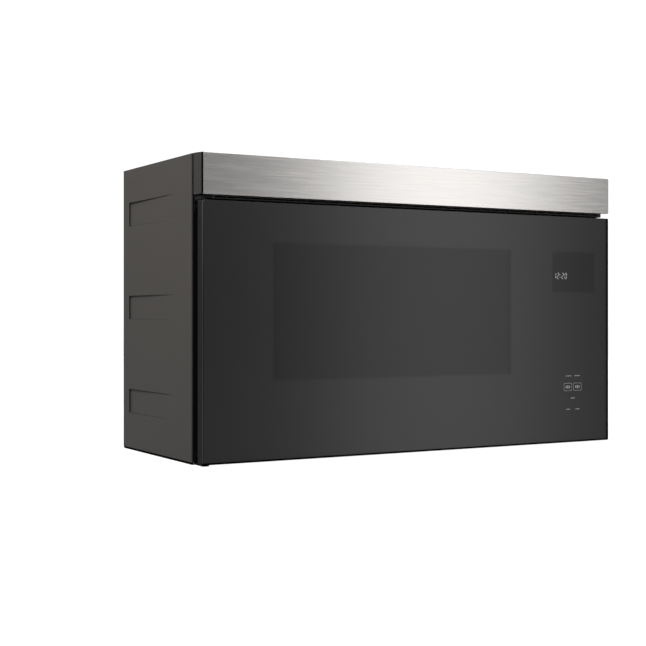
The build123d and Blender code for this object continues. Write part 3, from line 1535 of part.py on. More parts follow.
def cabinet_screws():
    """Screws of the rear sheet and of the two hinge brackets."""
    arm_face = cabinet_front - plate
    rear = [screw((x, panel_face, z), Rot(-90, 0, 0), screw_length) for x, z in panel_screw_points]
    arms = [screw((x, arm_face, z), Rot(90, 0, 0), screw_length) for x, z in arm_screw_points()]
    return Compound(children=rear + arms)


def window_block(margin, y):
    """The window's outline, grown by a margin, from y[0] back to y[1]."""
    x = (window_left - margin, window_right + margin)
    z = (window_bottom - margin, window_top + margin)
    return front_plate(x, z, y, max(corner_radius + margin, cavity_sheet))


def door_glass():
    """Single tinted pane over the whole door, with ground edges."""
    slab = front_plate((left, right), (door_bottom, door_top), (front, glass_back), glass_radius)
    return chamfer(slab.edges().group_by(Axis.Y)[0], glass_bevel)


def door_shell():
    """Door pan behind the glass: bevelled rim, ribs, hinge bosses and window opening."""
    x = (left, right)
    z = (door_bottom, door_top)
    shell = front_plate(x, z, (glass_back, door_back), glass_radius)
    shell = chamfer(shell.edges().group_by(Axis.Y)[0], shell_chamfer)
    inner_x = (x[0] + shell_wall, x[1] - shell_wall)
    inner_z = (z[0] + shell_wall, z[1] - shell_wall)
    shell = shell - front_plate(inner_x, inner_z, (glass_back - past, door_back - moulding), glass_radius)
    y = (glass_back, door_back)
    pieces = []
    for upper in (False, True):
        end = door_top - boss_depth if upper else door_bottom
        boss = Pos(hinge_x, hinge_y, end) * extrude(Circle(pin_radius + boss_wall), boss_depth)
        web = block((left + past, hinge_x + boss_web), (hinge_y, door_back), (end, end + boss_depth))
        pieces += [boss, web]
    rib_x = (window_left - rib_offset, window_right + rib_offset)
    rib_z = (window_bottom - rib_offset, window_top + rib_offset)
    pieces += [block(span(middle, shell_rib), y, inner_z) for middle in rib_x]
    pieces += [block(rib_x, y, span(middle, shell_rib)) for middle in rib_z]
    shell = merge([shell] + pieces)
    shell = shell - window_block(window_relief, (y[0] - past, y[1] + past))
    for upper in (False, True):
        start = door_top - pin_length - past if upper else door_bottom - past
        bore = extrude(Circle(pin_radius + running), pin_length + 2 * past)
        shell = shell - Pos(hinge_x, hinge_y, start) * bore
    for screw_x, screw_z in door_screw_points():
        shell = shell - rod("y", (screw_x, door_back, screw_z), screw_radius + fit, 6 * moulding)
    return shell


def choke_frame():
    """Pressed steel ring with a slotted outer wall that traps the microwaves."""
    x = (choke_left, choke_right)
    z = (choke_low, choke_high)
    y = (door_back, liner_back - moulding - fit)
    ring = front_plate(x, z, y, choke_corner)
    hollow_x = (x[0] + cavity_sheet, x[1] - cavity_sheet)
    hollow_z = (z[0] + cavity_sheet, z[1] - cavity_sheet)
    hollow_y = (y[0] + cavity_sheet, y[1] + past)
    hollow = front_plate(hollow_x, hollow_z, hollow_y, choke_corner - cavity_sheet)
    hollow = hollow - window_block(window_seat, (hollow_y[0] - past, hollow_y[1] + past))
    ring = ring - hollow - window_block(window_relief, (y[0] - past, y[1] + past))
    ring = ring - window_block(window_seat - cavity_sheet, (y[0] + cavity_sheet, y[1] - cavity_sheet))
    slot_y = (y[0] + choke_slot_start, y[1] + past)
    cut = cavity_sheet + past
    count_x = int((x[1] - x[0] - 2 * choke_end) / choke_pitch)
    count_z = int((z[1] - z[0] - 2 * choke_end) / choke_pitch)
    for place in spread(count_x, choke_pitch, (x[0] + x[1]) / 2):
        for wall in z:
            ring = ring - block(span(place, choke_slot), slot_y, (wall - cut, wall + cut))
    for place in spread(count_z, choke_pitch, (z[0] + z[1]) / 2):
        ring = ring - block((x[0] - cut, x[0] + cut), slot_y, span(place, choke_slot))
    return ring


def door_screw_points():
    """Two screws on the latch side of the liner, above and below its hooks."""
    x = liner_right - liner_screw_inset
    return [(x, liner_low + liner_screw_reach), (x, liner_high - liner_screw_reach)]


def door_liner():
    """Moulded inner cover of the door: hides the choke and guides the latch hooks."""
    x = (liner_left, liner_right)
    z = (liner_low, liner_high)
    y = (door_back, liner_back)
    cover = front_plate(x, z, y, liner_corner)
    cover = chamfer(cover.edges().group_by(Axis.Y)[-1], liner_bevel)
    inner_x = (x[0] + moulding, x[1] - moulding)
    inner_z = (z[0] + moulding, z[1] - moulding)
    inner = front_plate(inner_x, inner_z, (y[0] - past, y[1] - moulding), liner_corner - moulding)
    cover = cover - inner - window_block(0, (y[0] - past, y[1] + past))
    for level in slot_levels:
        cover = cover - latch_slot(level, (y[1] - 2 * moulding, y[1] + past))
    rail_inner = bar_width / 2 + rail_gap
    rail_x = ((choke_right + fit, latch_x - rail_inner), (latch_x + rail_inner, inner_x[1]))
    for share in rail_places:
        rail_z = span(z[0] + share * (z[1] - z[0]), rail_height)
        for xs in rail_x:
            cover = cover + block(xs, (y[0], y[1] - moulding), rail_z)
    for screw_x, screw_z in door_screw_points():
        cover = cover + rod("y", (screw_x, sum(y) / 2, screw_z), liner_post_radius, y[1] - y[0])
    head_depth = screw_head_height + past
    for screw_x, screw_z in door_screw_points():
        cover = cover - rod("y", (screw_x, y[0], screw_z), screw_radius + fit, 2 * finger_gap)
        cover = cover - rod("y", (screw_x, y[1], screw_z), screw_head + fit, 2 * head_depth)
    return cover


def door_screws():
    """Screws that hold the liner to the door pan."""
    level = liner_back - screw_head_height - past
    turn = Rot(-90, 0, 0)
    screws = [screw((x, level, z), turn, door_screw_length) for x, z in door_screw_points()]
    return Compound(children=screws)


def window_screen():
    """Perforated metal screen over the window, stamped with a shallow edge."""
    y = (door_back - moulding - screen, door_back - moulding)
    return window_block(window_seat, y) - window_block(-screen_edge, (y[0] - past, y[0] + screen_dish))


def inner_window():
    """Clear pane at the oven side of the window."""
    return window_block(-fit, (liner_back - pane, liner_back - pane_gap))


def display_module():
    """Clock display: lit face behind the glass, case and its connector."""
    y = (glass_back, glass_back + display_depth)
    case = front_plate((display_left, display_right), (display_low, display_high), y, display_corner)
    inner_x = (display_left + display_edge, display_right - display_edge)
    inner_z = (display_low + display_edge, display_high - display_edge)
    panel = front_plate(inner_x, inner_z, (y[1], y[1] + board), sheet)
    plug_x = (display_left + display_plug_x, display_left + display_plug_x + display_plug_width)
    plug_z = (display_low + display_plug_z, display_low + display_plug_z + display_plug_height)
    return merge([case, panel, block(plug_x, (y[1] + board, door_back - moulding), plug_z)])


def touch_board():
    """Touch sensor board against the glass, with its connector and stand-off pads."""
    y = (glass_back, glass_back + board)
    panel = front_plate((touch_left, touch_right), (touch_low, touch_high), y, touch_corner)
    chip_start = (touch_left + chip_x, touch_low + chip_z)
    chip_end = (chip_start[0] + chip_side, chip_start[1] + chip_side)
    chip = block((chip_start[0], chip_end[0]), (y[1], y[1] + chip_height), (chip_start[1], chip_end[1]))
    pads = []
    rear = door_back - moulding
    for x in (touch_left + touch_pad_inset, touch_right - touch_pad_inset):
        for z in (touch_low + touch_pad_inset, touch_high - touch_pad_inset):
            pads.append(rod("y", (x, (y[1] + rear) / 2, z), touch_pad, rear - y[1]))
    return merge([panel, chip] + pads)


def latch_bar():
    """Sliding bar with a hook at each end that reaches through the oven face."""
    low, high = hook_levels
    guide = block(span(latch_x, bar_width), bar_y, (low - bar_low_end, high + bar_high_end))
    groove_y = (bar_y[0] + bar_floor, bar_y[1] + past)
    for start, end in ((low, finger_level), (finger_level, high)):
        groove_z = (start + bar_low_end, end - bar_low_end)
        guide = guide - block(span(latch_x, bar_groove), groove_y, groove_z)
    pieces = [guide]
    tip = liner_back + hook_reach
    xs = span(latch_x, latch_width)
    for level in hook_levels:
        low_z, top = span(level, hook_height)
        outline = [
            (bar_y[0], top),
            (tip - hook_nose, top),
            (tip, top - hook_bevel),
            (tip, low_z + past),
            (tip - hook_nose - past, low_z - nose_drop),
            (tip - hook_heel, low_z - nose_drop),
            (tip - hook_heel, low_z),
            (bar_y[0], low_z),
        ]
        pieces.append(side_profile(outline, xs))
    pieces.append(block(xs, (bar_y[0], tip), span(finger_level, hook_height)))
    return merge(pieces)


def latch_spring():
    """Compression spring between the top of the latch bar and the liner."""
    rise = spring_top - spring_bottom - 2 * spring_wire
    path = Helix(rise / spring_turns, rise, spring_radius)
    profile = Plane(origin=path @ 0, z_dir=path % 0) * Circle(spring_wire)
    coil = sweep(profile, path=path, is_frenet=True)
    return Pos(latch_x, sum(bar_y) / 2 + past, spring_bottom + spring_wire) * coil


def write(name, shape):
    """Write one piece as its own STEP file."""
    export_step(shape, "parts/" + name + ".step")


def main():
    os.makedirs("parts", exist_ok=True)
    write("cabinet_wrapper", cabinet_wrapper())
    write("back_panel", back_panel())
    write("wall_mounting_plate", wall_mounting_plate())
    write("base_plate", base_plate())
    write("front_frame", front_frame())
    write("oven_cavity", oven_cavity())
    write("ceramic_floor", ceramic_floor())
    write("waveguide", waveguide())
    write("stirrer_antenna", stirrer_antenna())
    write("stirrer_motor", stirrer_motor())
    write("magnetron", magnetron())
    write("hv_transformer", hv_transformer())
    write("hv_capacitor", hv_capacitor())
    write("hv_diode", hv_diode())
    write("fan_shroud", fan_shroud())
    write("fan_motor", fan_motor())
    write("cooling_fan", cooling_fan())
    write("blower_housing", blower_housing())
    write("blower_motor", blower_motor())
    write("blower_shaft", blower_shaft())
    write("exhaust_adaptor", exhaust_adaptor())
    write("damper_flap", damper_flap())
    write("cord_bushing", cord_bushing())
    write("cavity_lamp", cavity_lamp())
    write("lamp_cover", lamp_cover())
    write("thermal_cutouts", thermal_cutouts())
    write("switch_bracket", switch_bracket())
    write("interlock_switches", interlock_switches())
    write("control_board", control_board())
    write("vent_trim_strip", vent_trim_strip())
    write("strip_bracket", strip_bracket())
    write("vent_grille", vent_grille())
    write("charcoal_filter", charcoal_filter())
    write("cabinet_screws", cabinet_screws())
    for name, side in (("left", -1), ("right", 1)):
        write("strip_end_" + name, strip_end(side))
        write("blower_wheel_" + name, blower_wheel(side))
        write("grease_filter_" + name, grease_filter(side))
        write("cooktop_light_" + name, cooktop_light(side))
    for name, upper in (("upper", True), ("lower", False)):
        write(name + "_hinge_bracket", hinge_bracket(upper))
        write(name + "_hinge_pin", hinge_pin(upper))
    for name, place in zip(("lower", "middle", "upper"), switch_places()):
        write("plunger_" + name, switch_plunger(place))
    write("door_glass", door_glass())
    write("door_shell", door_shell())
    write("choke_frame", choke_frame())
    write("door_liner", door_liner())
    write("door_screws", door_screws())
    write("window_screen", window_screen())
    write("inner_window", inner_window())
    write("display_module", display_module())
    write("touch_board", touch_board())
    write("latch_bar", latch_bar())
    write("latch_spring", latch_spring())


main()
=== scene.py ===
import bpy
import bmesh
import json
import math
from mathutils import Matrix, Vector


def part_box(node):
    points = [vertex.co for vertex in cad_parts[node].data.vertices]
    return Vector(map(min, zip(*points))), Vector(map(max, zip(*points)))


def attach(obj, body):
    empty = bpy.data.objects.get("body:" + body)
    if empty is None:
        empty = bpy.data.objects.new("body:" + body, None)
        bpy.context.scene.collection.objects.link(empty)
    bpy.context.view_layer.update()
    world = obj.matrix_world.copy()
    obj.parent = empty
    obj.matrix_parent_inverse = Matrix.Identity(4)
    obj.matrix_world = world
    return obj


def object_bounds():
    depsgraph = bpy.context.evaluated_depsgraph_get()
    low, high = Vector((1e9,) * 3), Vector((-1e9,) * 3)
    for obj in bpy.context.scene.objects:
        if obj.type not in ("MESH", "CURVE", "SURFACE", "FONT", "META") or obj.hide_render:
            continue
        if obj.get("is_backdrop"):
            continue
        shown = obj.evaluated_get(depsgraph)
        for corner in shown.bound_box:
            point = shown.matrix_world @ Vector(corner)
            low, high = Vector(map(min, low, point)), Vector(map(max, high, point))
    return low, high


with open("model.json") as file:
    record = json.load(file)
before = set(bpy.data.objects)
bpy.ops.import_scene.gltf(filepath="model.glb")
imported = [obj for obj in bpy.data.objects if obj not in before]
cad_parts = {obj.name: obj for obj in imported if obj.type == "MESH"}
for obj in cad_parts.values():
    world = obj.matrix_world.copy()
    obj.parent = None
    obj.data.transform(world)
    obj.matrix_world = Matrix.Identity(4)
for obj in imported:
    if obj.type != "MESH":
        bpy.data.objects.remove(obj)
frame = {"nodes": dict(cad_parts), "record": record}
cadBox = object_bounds()
print("frame loaded")

frontY = cadBox[0].y  # plane of the door's glass
footZ = cadBox[0].z
paintedShadeTone = 0.002  # black of painted shade in gaps and along edges, creases and rims


# Shader maths: a Wire is one output socket, and + - * / on it add Math nodes
class Wire:
    def __init__(self, tree, socket):
        self.tree = tree
        self.socket = socket

    # settings are set first, then the values or links of the sockets
    def node(self, kind, settings=None, inputs=None, output=0):
        made = self.tree.nodes.new("ShaderNode" + kind)
        for name, value in (settings or {}).items():
            setattr(made, name, value)
        for name, value in (inputs or {}).items():
            if isinstance(value, Wire):
                self.tree.links.new(value.socket, made.inputs[name])
            else:
                made.inputs[name].default_value = value
        return Wire(self.tree, made.outputs[output])

    def maths(self, operation, first, second=0.0):
        return self.node("Math", {"operation": operation}, {0: first, 1: second})

    def __add__(self, other):
        return self.maths("ADD", self, other)

    __radd__ = __add__

    def __sub__(self, other):
        return self.maths("SUBTRACT", self, other)

    def __rsub__(self, other):
        return self.maths("SUBTRACT", other, self)

    def __mul__(self, other):
        return self.maths("MULTIPLY", self, other)

    __rmul__ = __mul__

    def __truediv__(self, other):
        return self.maths("DIVIDE", self, other)

    def above(self, level):
        return self.maths("GREATER_THAN", self, level)

    def below(self, level):
        return self.maths("LESS_THAN", self, level)

    def size(self):
        return self.maths("ABSOLUTE", self)

    def part(self):
        return self.maths("FRACT", self)

    def root(self):
        return self.maths("SQRT", self)

    def least(self, other):
        return self.maths("MINIMUM", self, other)

    def most(self, other):
        return self.maths("MAXIMUM", self, other)

    # a share of this wire, and the rest of the other
    def blend(self, other, share):
        return self * share + other * (1 - share)

    # 0 below start, 1 above end, smooth between
    def ramp(self, start, end):
        settings = {"interpolation_type": "SMOOTHSTEP"}
        return self.node("MapRange", settings, {"Value": self, "From Min": start, "From Max": end})

    # first at 0, second at 1
    def between(self, first, second):
        return self.node("MapRange", inputs={"Value": self, "To Min": first, "To Max": second})


def rgb(value, warm=0.0):
    return (value * (1 + warm), value, value * (1 - warm), 1)


# One material: its Principled shader, and the wires that feed it
class Finish:
    def __init__(self, name, **fixed):
        self.material = bpy.data.materials.new(name)
        self.material.use_nodes = True
        self.tree = self.material.node_tree
        self.shader = self.tree.nodes["Principled BSDF"]
        self.start = Wire(self.tree, None)
        self.place = self.node("TexCoord", output="Object")
        for socket, value in fixed.items():
            self.shader.inputs[socket.replace("_", " ")].default_value = value

    def node(self, kind, settings=None, inputs=None, output=0):
        return self.start.node(kind, settings, inputs, output)

    # across, deep and tall: the place along x, y and z
    def axes(self):
        split = self.node("SeparateXYZ", inputs={"Vector": self.place}).socket.node
        return [Wire(self.tree, socket) for socket in split.outputs]

    def noise(self, scale, detail=3.0, rough=0.55, stretch=None):
        vector = self.place
        if stretch:
            vector = self.node("Mapping", inputs={"Vector": self.place, "Scale": stretch})
        inputs = {"Vector": vector, "Scale": scale, "Detail": detail, "Roughness": rough}
        return self.node("TexNoise", inputs=inputs)

    def cells(self, scale, feature="F1", output="Distance"):
        inputs = {"Vector": self.place, "Scale": scale}
        return self.node("TexVoronoi", {"feature": feature}, inputs, output)

    # one grey for each cell
    def flakes(self, scale):
        return self.node("RGBToBW", inputs={"Color": self.cells(scale, output="Color")})

    def waves(self, scale, direction, uneven=0.0):
        inputs = {"Vector": self.place, "Scale": scale, "Distortion": uneven}
        return self.node("TexWave", {"bands_direction": direction}, inputs)

    # sockets 0, 6 and 7, and output 2, are the ones that a colour Mix uses
    def mix(self, factor, first, second):
        return self.node("Mix", {"data_type": "RGBA"}, {0: factor, 6: first, 7: second}, 2)

    # grey between two shares of a tone
    def greys(self, factor, shares, tone=1.0, warm=0.0):
        first, second = shares
        return self.mix(factor, rgb(tone * first, warm), rgb(tone * second, warm))

    def feed(self, socket, wire):
        self.tree.links.new(wire.socket, self.shader.inputs[socket])

    # height in, normal out; rounded edges come in through the Bevel node
    def relief(self, height, strength, distance, edge=0.0, samples=4):
        inputs = {"Height": height, "Strength": strength, "Distance": distance}
        if edge:
            inputs["Normal"] = self.node("Bevel", {"samples": samples}, {"Radius": edge})
        self.feed("Normal", self.node("Bump", inputs=inputs))


# Pressed beads on the cabinet's sides, and the painted shade along their creases, in the frame's metres
beads = {
    "count": 3,
    "lowest": 0.07875,  # middle of the lowest bead
    "pitch": 0.151,
    "tall": 0.038,
    "deepEnd": 0.025,  # from the cabinet's back
    "flushEnd": 0.064,  # from the cabinet's front
    # the next five shape the painted shade along the creases
    "fade": 0.045,
    "line": 0.0004,
    "blur": 0.0012,
    "upper": 0.7,
    "lower": 0.55,
}


def beadCreaseShade(tall, deep, front, back):
    # painted shade: 1 along the long creases of each bead, fading to its flush end
    start = front + beads["flushEnd"]
    near = deep.ramp(start, start + beads["fade"]) * deep.below(back - beads["deepEnd"])
    half = beads["tall"] / 2
    lines = None
    for index in range(beads["count"]):
        level = beads["lowest"] + index * beads["pitch"]
        for weight, rise in ((beads["upper"], half), (beads["lower"], -half)):
            gap = (tall - (level + rise)).size()
            line = (1 - gap.ramp(beads["line"], beads["blur"])) * weight
            lines = line if lines is None else lines.most(line)
    return lines * near


def cabinetPaint():
    look = {
        "tone": 0.052,
        "warm": 0.09,
        "span": (0.94, 1.06),
        "cloud": dict(scale=7.0, detail=4.0),
        "peel": dict(scale=900.0, detail=2.0, rough=0.5),
        "grain": dict(scale=4200.0, detail=1.0),
        "peelShare": 0.7,
        "dust": dict(scale=60.0, detail=6.0, rough=0.7),
        "dustSpots": (0.62, 0.80),
        "dustTone": 1.9,
        "dustCover": 0.10,
        "dustRough": 0.06,
        "rough": (0.40, 0.50),
        "relief": dict(strength=0.16, distance=0.0002, edge=0.0009),
        "wall": 0.005,  # a side wall and its beads lie within this of the cabinet's width
        # the next seven set the painted shade on the side walls and its roughness
        "creaseShade": 0.62,
        "cut": 0.80,
        "edgeShadeFacing": (0.35, 0.75),
        "rim": 0.0034,
        "lip": 0.0034,
        "lipDark": 0.75,
        "darkRough": 0.4,
        "shadeBelow": (0.88, 1.0),  # painted shade: darker towards the bottom, where less light falls
        "shadeBelowTop": 0.30,
    }
    paint = Finish("cabinetPaint", Specular_IOR_Level=0.45, Coat_Roughness=0.3)
    across, deep, tall = paint.axes()
    normal = paint.node("NewGeometry", output="Normal")
    facing = paint.node("SeparateXYZ", inputs={"Vector": normal}, output="X").size()
    low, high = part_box("cabinet_wrapper")
    wall = across.size().above(high.x - look["wall"])
    # painted shade on the side walls: faces turned away from the side (bead steps and folded edges), the
    # bead creases, the bottom rim and the front lip go towards black
    cut = wall * (1 - facing.ramp(*look["edgeShadeFacing"])) * look["cut"]
    creaseShade = wall * beadCreaseShade(tall, deep, low.y, high.y) * look["creaseShade"]
    rim = wall * tall.below(low.z + look["rim"])
    lip = wall * deep.below(low.y + look["lip"]) * look["lipDark"]
    dark = cut.most(creaseShade).most(rim).most(lip)
    # painted shade: the paint is darkened towards the bottom
    shadeBelow = tall.ramp(0.0, look["shadeBelowTop"]).between(*look["shadeBelow"])
    cloud = paint.noise(**look["cloud"])
    peel = paint.noise(**look["peel"])
    grain = paint.noise(**look["grain"])
    dust = paint.noise(**look["dust"]).ramp(*look["dustSpots"])
    base = paint.greys(cloud, look["span"], look["tone"], look["warm"])
    dusty = rgb(look["tone"] * look["dustTone"], look["warm"])
    base = paint.mix(dust * look["dustCover"], base, dusty)
    base = paint.mix(shadeBelow, rgb(0.0), base)
    rough = cloud.between(*look["rough"]) + dust * look["dustRough"]
    paint.feed("Base Color", paint.mix(dark, base, rgb(paintedShadeTone)))
    paint.feed("Metallic", rim)
    paint.feed("Roughness", rough + dark * look["darkRough"])
    paint.relief(peel.blend(grain, look["peelShare"]), **look["relief"])
    return paint.material


# Moulded plastic and flat enamel: what a kind doesn't set for itself
plainMoulding = {
    "grain": 2600.0,
    "depth": 0.22,
    "distance": 0.00012,
    "edge": 0.0006,
    "gloss": 0.4,
    "warm": 0.02,
    "span": (0.92, 1.08),
    "cloud": dict(scale=14.0, detail=3.0),
    "fine": 2.2,
    "fineRough": 0.04,
    "leatherShare": 0.6,
    "roughSpan": 0.05,
    "gapTo": None,  # painted shade: black in front of this depth, where a gap lies in shadow
}


def moulded(name, tone, rough, **own):
    look = {**plainMoulding, **own}
    plastic = Finish(name, Specular_IOR_Level=look["gloss"])
    cloud = plastic.noise(**look["cloud"])
    leather = plastic.cells(look["grain"])
    fine = plastic.noise(look["grain"] * look["fine"], detail=1.0)
    base = plastic.greys(cloud, look["span"], tone, look["warm"])
    # painted shade of a gap, black and metallic
    if look["gapTo"] is not None:
        gap = plastic.axes()[1].below(look["gapTo"])
        base = plastic.mix(gap, base, rgb(paintedShadeTone))
        plastic.feed("Metallic", gap)
    smooth, dull = rough - look["roughSpan"], rough + look["roughSpan"]
    plastic.feed("Base Color", base)
    plastic.feed("Roughness", cloud.between(smooth, dull) + fine * look["fineRough"])
    skin = leather.blend(fine, look["leatherShare"])
    plastic.relief(skin, look["depth"], look["distance"], look["edge"])
    return plastic.material


def brushedTrim():
    # stainless strip: long fine lines, and its cut ends painted dark as shade
    look = {
        "tone": 0.595,
        "warm": 0.028,
        "span": (0.925, 1.075),
        "streak": dict(scale=3.2, detail=3.0, rough=0.6, stretch=(1.1, 1500.0, 1500.0)),
        "band": dict(scale=2.0, detail=2.0, rough=0.5, stretch=(8.0, 230.0, 230.0)),
        "streakShare": 0.45,
        "lines": (0.30, 0.70),
        "rough": (0.235, 0.275),
        "leftEnd": 0.0002,
        "rightEnd": 0.00003,
        "endShadeTone": 0.012,
        "endRough": 0.3,
        "relief": dict(strength=0.015, distance=0.00008, edge=0.0006),
    }
    metal = Finish("brushedTrim", Metallic=1.0)
    streak = metal.noise(**look["streak"])
    band = metal.noise(**look["band"])
    lines = streak.blend(band, look["streakShare"]).ramp(*look["lines"])
    across = metal.axes()[0]
    low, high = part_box("vent_trim_strip")
    # painted shade: the strip's ends go dark, like the shadow gap beside the caps
    ends = across.below(low.x + look["leftEnd"]).most(across.above(high.x - look["rightEnd"]))
    base = metal.greys(lines, look["span"], look["tone"], look["warm"])
    metal.feed("Base Color", metal.mix(ends, base, rgb(look["endShadeTone"])))
    metal.feed("Roughness", lines.between(*look["rough"]) + ends * look["endRough"])
    metal.relief(lines, **look["relief"])
    return metal.material


def zincSheet():
    # galvanised sheet: small crystal flakes under a light haze
    look = {
        "tone": 0.58,
        "span": (0.94, 1.03),
        "flakes": 210.0,
        "fine": dict(scale=420.0, detail=3.0),
        "fineRough": 0.05,
        "fineShare": 0.6,
        "stain": dict(scale=9.0, detail=5.0, rough=0.65),
        "stainSpots": (0.45, 0.75),
        "stainCover": 0.25,
        "stainTone": 0.80,
        "rough": (0.36, 0.44),
        "relief": dict(strength=0.08, distance=0.0001, edge=0.0004),
    }
    metal = Finish("zincSheet", Metallic=1.0)
    grey = metal.flakes(look["flakes"])
    fine = metal.noise(**look["fine"])
    stain = metal.noise(**look["stain"]).ramp(*look["stainSpots"]) * look["stainCover"]
    base = metal.greys(grey, look["span"], look["tone"])
    metal.feed("Base Color", metal.mix(stain, base, rgb(look["tone"] * look["stainTone"])))
    metal.feed("Roughness", grey.between(*look["rough"]) + fine * look["fineRough"])
    metal.relief(fine.blend(grey, look["fineShare"]), **look["relief"])
    return metal.material


def plainAluminium():
    look = {
        "tone": 0.62,
        "span": (0.88, 1.06),
        "lump": dict(scale=240.0, detail=4.0, rough=0.6),
        "stain": dict(scale=18.0, detail=4.0),
        "rough": (0.30, 0.48),
        "relief": dict(strength=0.20, distance=0.0002, edge=0.0004),
    }
    metal = Finish("plainAluminium", Metallic=1.0)
    lump = metal.noise(**look["lump"])
    stain = metal.noise(**look["stain"])
    metal.feed("Base Color", metal.greys(stain, look["span"], look["tone"]))
    metal.feed("Roughness", lump.between(*look["rough"]))
    metal.relief(lump, **look["relief"])
    return metal.material


def brightSteel():
    look = {
        "tones": (0.56, 0.66),
        "turned": dict(scale=600.0, detail=2.0),
        "turnedRough": 0.04,
        "haze": dict(scale=40.0, detail=4.0),
        "rough": (0.16, 0.30),
        "relief": dict(strength=0.08, distance=0.00005, edge=0.0002),
    }
    steel = Finish("brightSteel", Metallic=1.0)
    turned = steel.noise(**look["turned"])
    haze = steel.noise(**look["haze"])
    steel.feed("Base Color", steel.greys(haze, look["tones"]))
    steel.feed("Roughness", haze.between(*look["rough"]) + turned * look["turnedRough"])
    steel.relief(turned, **look["relief"])
    return steel.material


def ovenEnamel():
    # grey enamel with pale specks
    look = {
        "tone": 0.085,
        "span": (0.9, 1.1),
        "cloud": dict(scale=12.0, detail=4.0),
        "specks": 1100.0,
        "speckSize": 0.22,
        "speckCover": 0.35,
        "speckTone": 0.30,
        "rough": (0.24, 0.36),
        "ripple": dict(scale=320.0, detail=3.0),
        "relief": dict(strength=0.14, distance=0.0002, edge=0.0008),
    }
    enamel = Finish("ovenEnamel", Specular_IOR_Level=0.5, Coat_Weight=0.25, Coat_Roughness=0.12)
    cloud = enamel.noise(**look["cloud"])
    speck = enamel.cells(look["specks"]).below(look["speckSize"]) * look["speckCover"]
    base = enamel.greys(cloud, look["span"], look["tone"])
    enamel.feed("Base Color", enamel.mix(speck, base, rgb(look["speckTone"])))
    enamel.feed("Roughness", cloud.between(*look["rough"]))
    enamel.relief(enamel.noise(**look["ripple"]), **look["relief"])
    return enamel.material


def glassCeramic():
    # dark floor plate with fine warm dots
    look = {
        "tones": (0.030, 0.045),
        "flow": dict(scale=24.0, detail=5.0, rough=0.6),
        "dots": 900.0,
        "dotSize": 0.16,
        "dotCover": 0.3,
        "dotColour": rgb(0.16, 0.03),
        "rough": (0.10, 0.20),
        "ripple": dict(scale=180.0, detail=2.0),
        "relief": dict(strength=0.06, distance=0.0002, edge=0.0005),
    }
    plate = Finish("glassCeramic", Specular_IOR_Level=0.5, Coat_Weight=0.4, Coat_Roughness=0.05)
    flow = plate.noise(**look["flow"])
    dots = plate.cells(look["dots"]).below(look["dotSize"]) * look["dotCover"]
    base = plate.greys(flow, look["tones"])
    plate.feed("Base Color", plate.mix(dots, base, look["dotColour"]))
    plate.feed("Roughness", flow.between(*look["rough"]))
    plate.relief(plate.noise(**look["ripple"]), **look["relief"])
    return plate.material


def micaSheet():
    look = {
        "dark": (0.42, 0.36, 0.25, 1),
        "pale": (0.62, 0.57, 0.46, 1),
        "flakes": 160.0,
        "rough": (0.30, 0.55),
        "relief": dict(strength=0.2, distance=0.0001),
    }
    mica = Finish("micaSheet", Specular_IOR_Level=0.5)
    grey = mica.flakes(look["flakes"])
    mica.feed("Base Color", mica.mix(grey, look["dark"], look["pale"]))
    mica.feed("Roughness", grey.between(*look["rough"]))
    mica.relief(grey, **look["relief"])
    return mica.material


def circuitBoard():
    # green mask over copper tracks, with solder pads
    look = {
        "dark": (0.010, 0.070, 0.030, 1),
        "green": (0.014, 0.095, 0.042, 1),
        "cloud": 30.0,
        "tracks": 150.0,
        "trackWidth": 0.05,
        "trackCover": 0.6,
        "trackColour": (0.030, 0.17, 0.075, 1),
        "pads": 330.0,
        "padSize": 0.18,
        "padCover": 0.7,
        "solder": (0.55, 0.55, 0.52, 1),
        "rough": (0.30, 0.42),
        "trackShare": 0.6,
        "relief": dict(strength=0.3, distance=0.0001),
    }
    board = Finish("circuitBoard", Specular_IOR_Level=0.5)
    track = board.cells(look["tracks"], "DISTANCE_TO_EDGE").below(look["trackWidth"])
    pad = board.cells(look["pads"]).below(look["padSize"])
    cloud = board.noise(look["cloud"])
    solder = pad * look["padCover"]
    base = board.mix(cloud, look["dark"], look["green"])
    base = board.mix(track * look["trackCover"], base, look["trackColour"])
    board.feed("Base Color", board.mix(solder, base, look["solder"]))
    board.feed("Metallic", solder)
    board.feed("Roughness", cloud.between(*look["rough"]))
    board.relief(track.blend(pad, look["trackShare"]), **look["relief"])
    return board.material


def charcoalBed():
    look = {
        "tones": (0.008, 0.035),
        "grains": 420.0,
        "soot": dict(scale=90.0, detail=4.0),
        "rough": (0.75, 0.95),
        "relief": dict(strength=0.9, distance=0.0008),
    }
    bed = Finish("charcoalBed", Specular_IOR_Level=0.3)
    grains = bed.cells(look["grains"])
    soot = bed.noise(**look["soot"])
    bed.feed("Base Color", bed.greys(grains, look["tones"]))
    bed.feed("Roughness", soot.between(*look["rough"]))
    bed.relief(1 - grains, **look["relief"])
    return bed.material


def milkyLens():
    # lamp lens with fine prisms
    look = {
        "dark": (0.74, 0.73, 0.69, 1),
        "pale": (0.82, 0.81, 0.78, 1),
        "cloud": 50.0,
        "prisms": 110.0,
        "rough": (0.22, 0.34),
        "relief": dict(strength=0.35, distance=0.0003),
    }
    lens = Finish("milkyLens", Specular_IOR_Level=0.5)
    prisms = lens.waves(look["prisms"], "X")
    cloud = lens.noise(look["cloud"])
    lens.feed("Base Color", lens.mix(cloud, look["dark"], look["pale"]))
    lens.feed("Roughness", cloud.between(*look["rough"]))
    lens.relief(prisms, **look["relief"])
    return lens.material


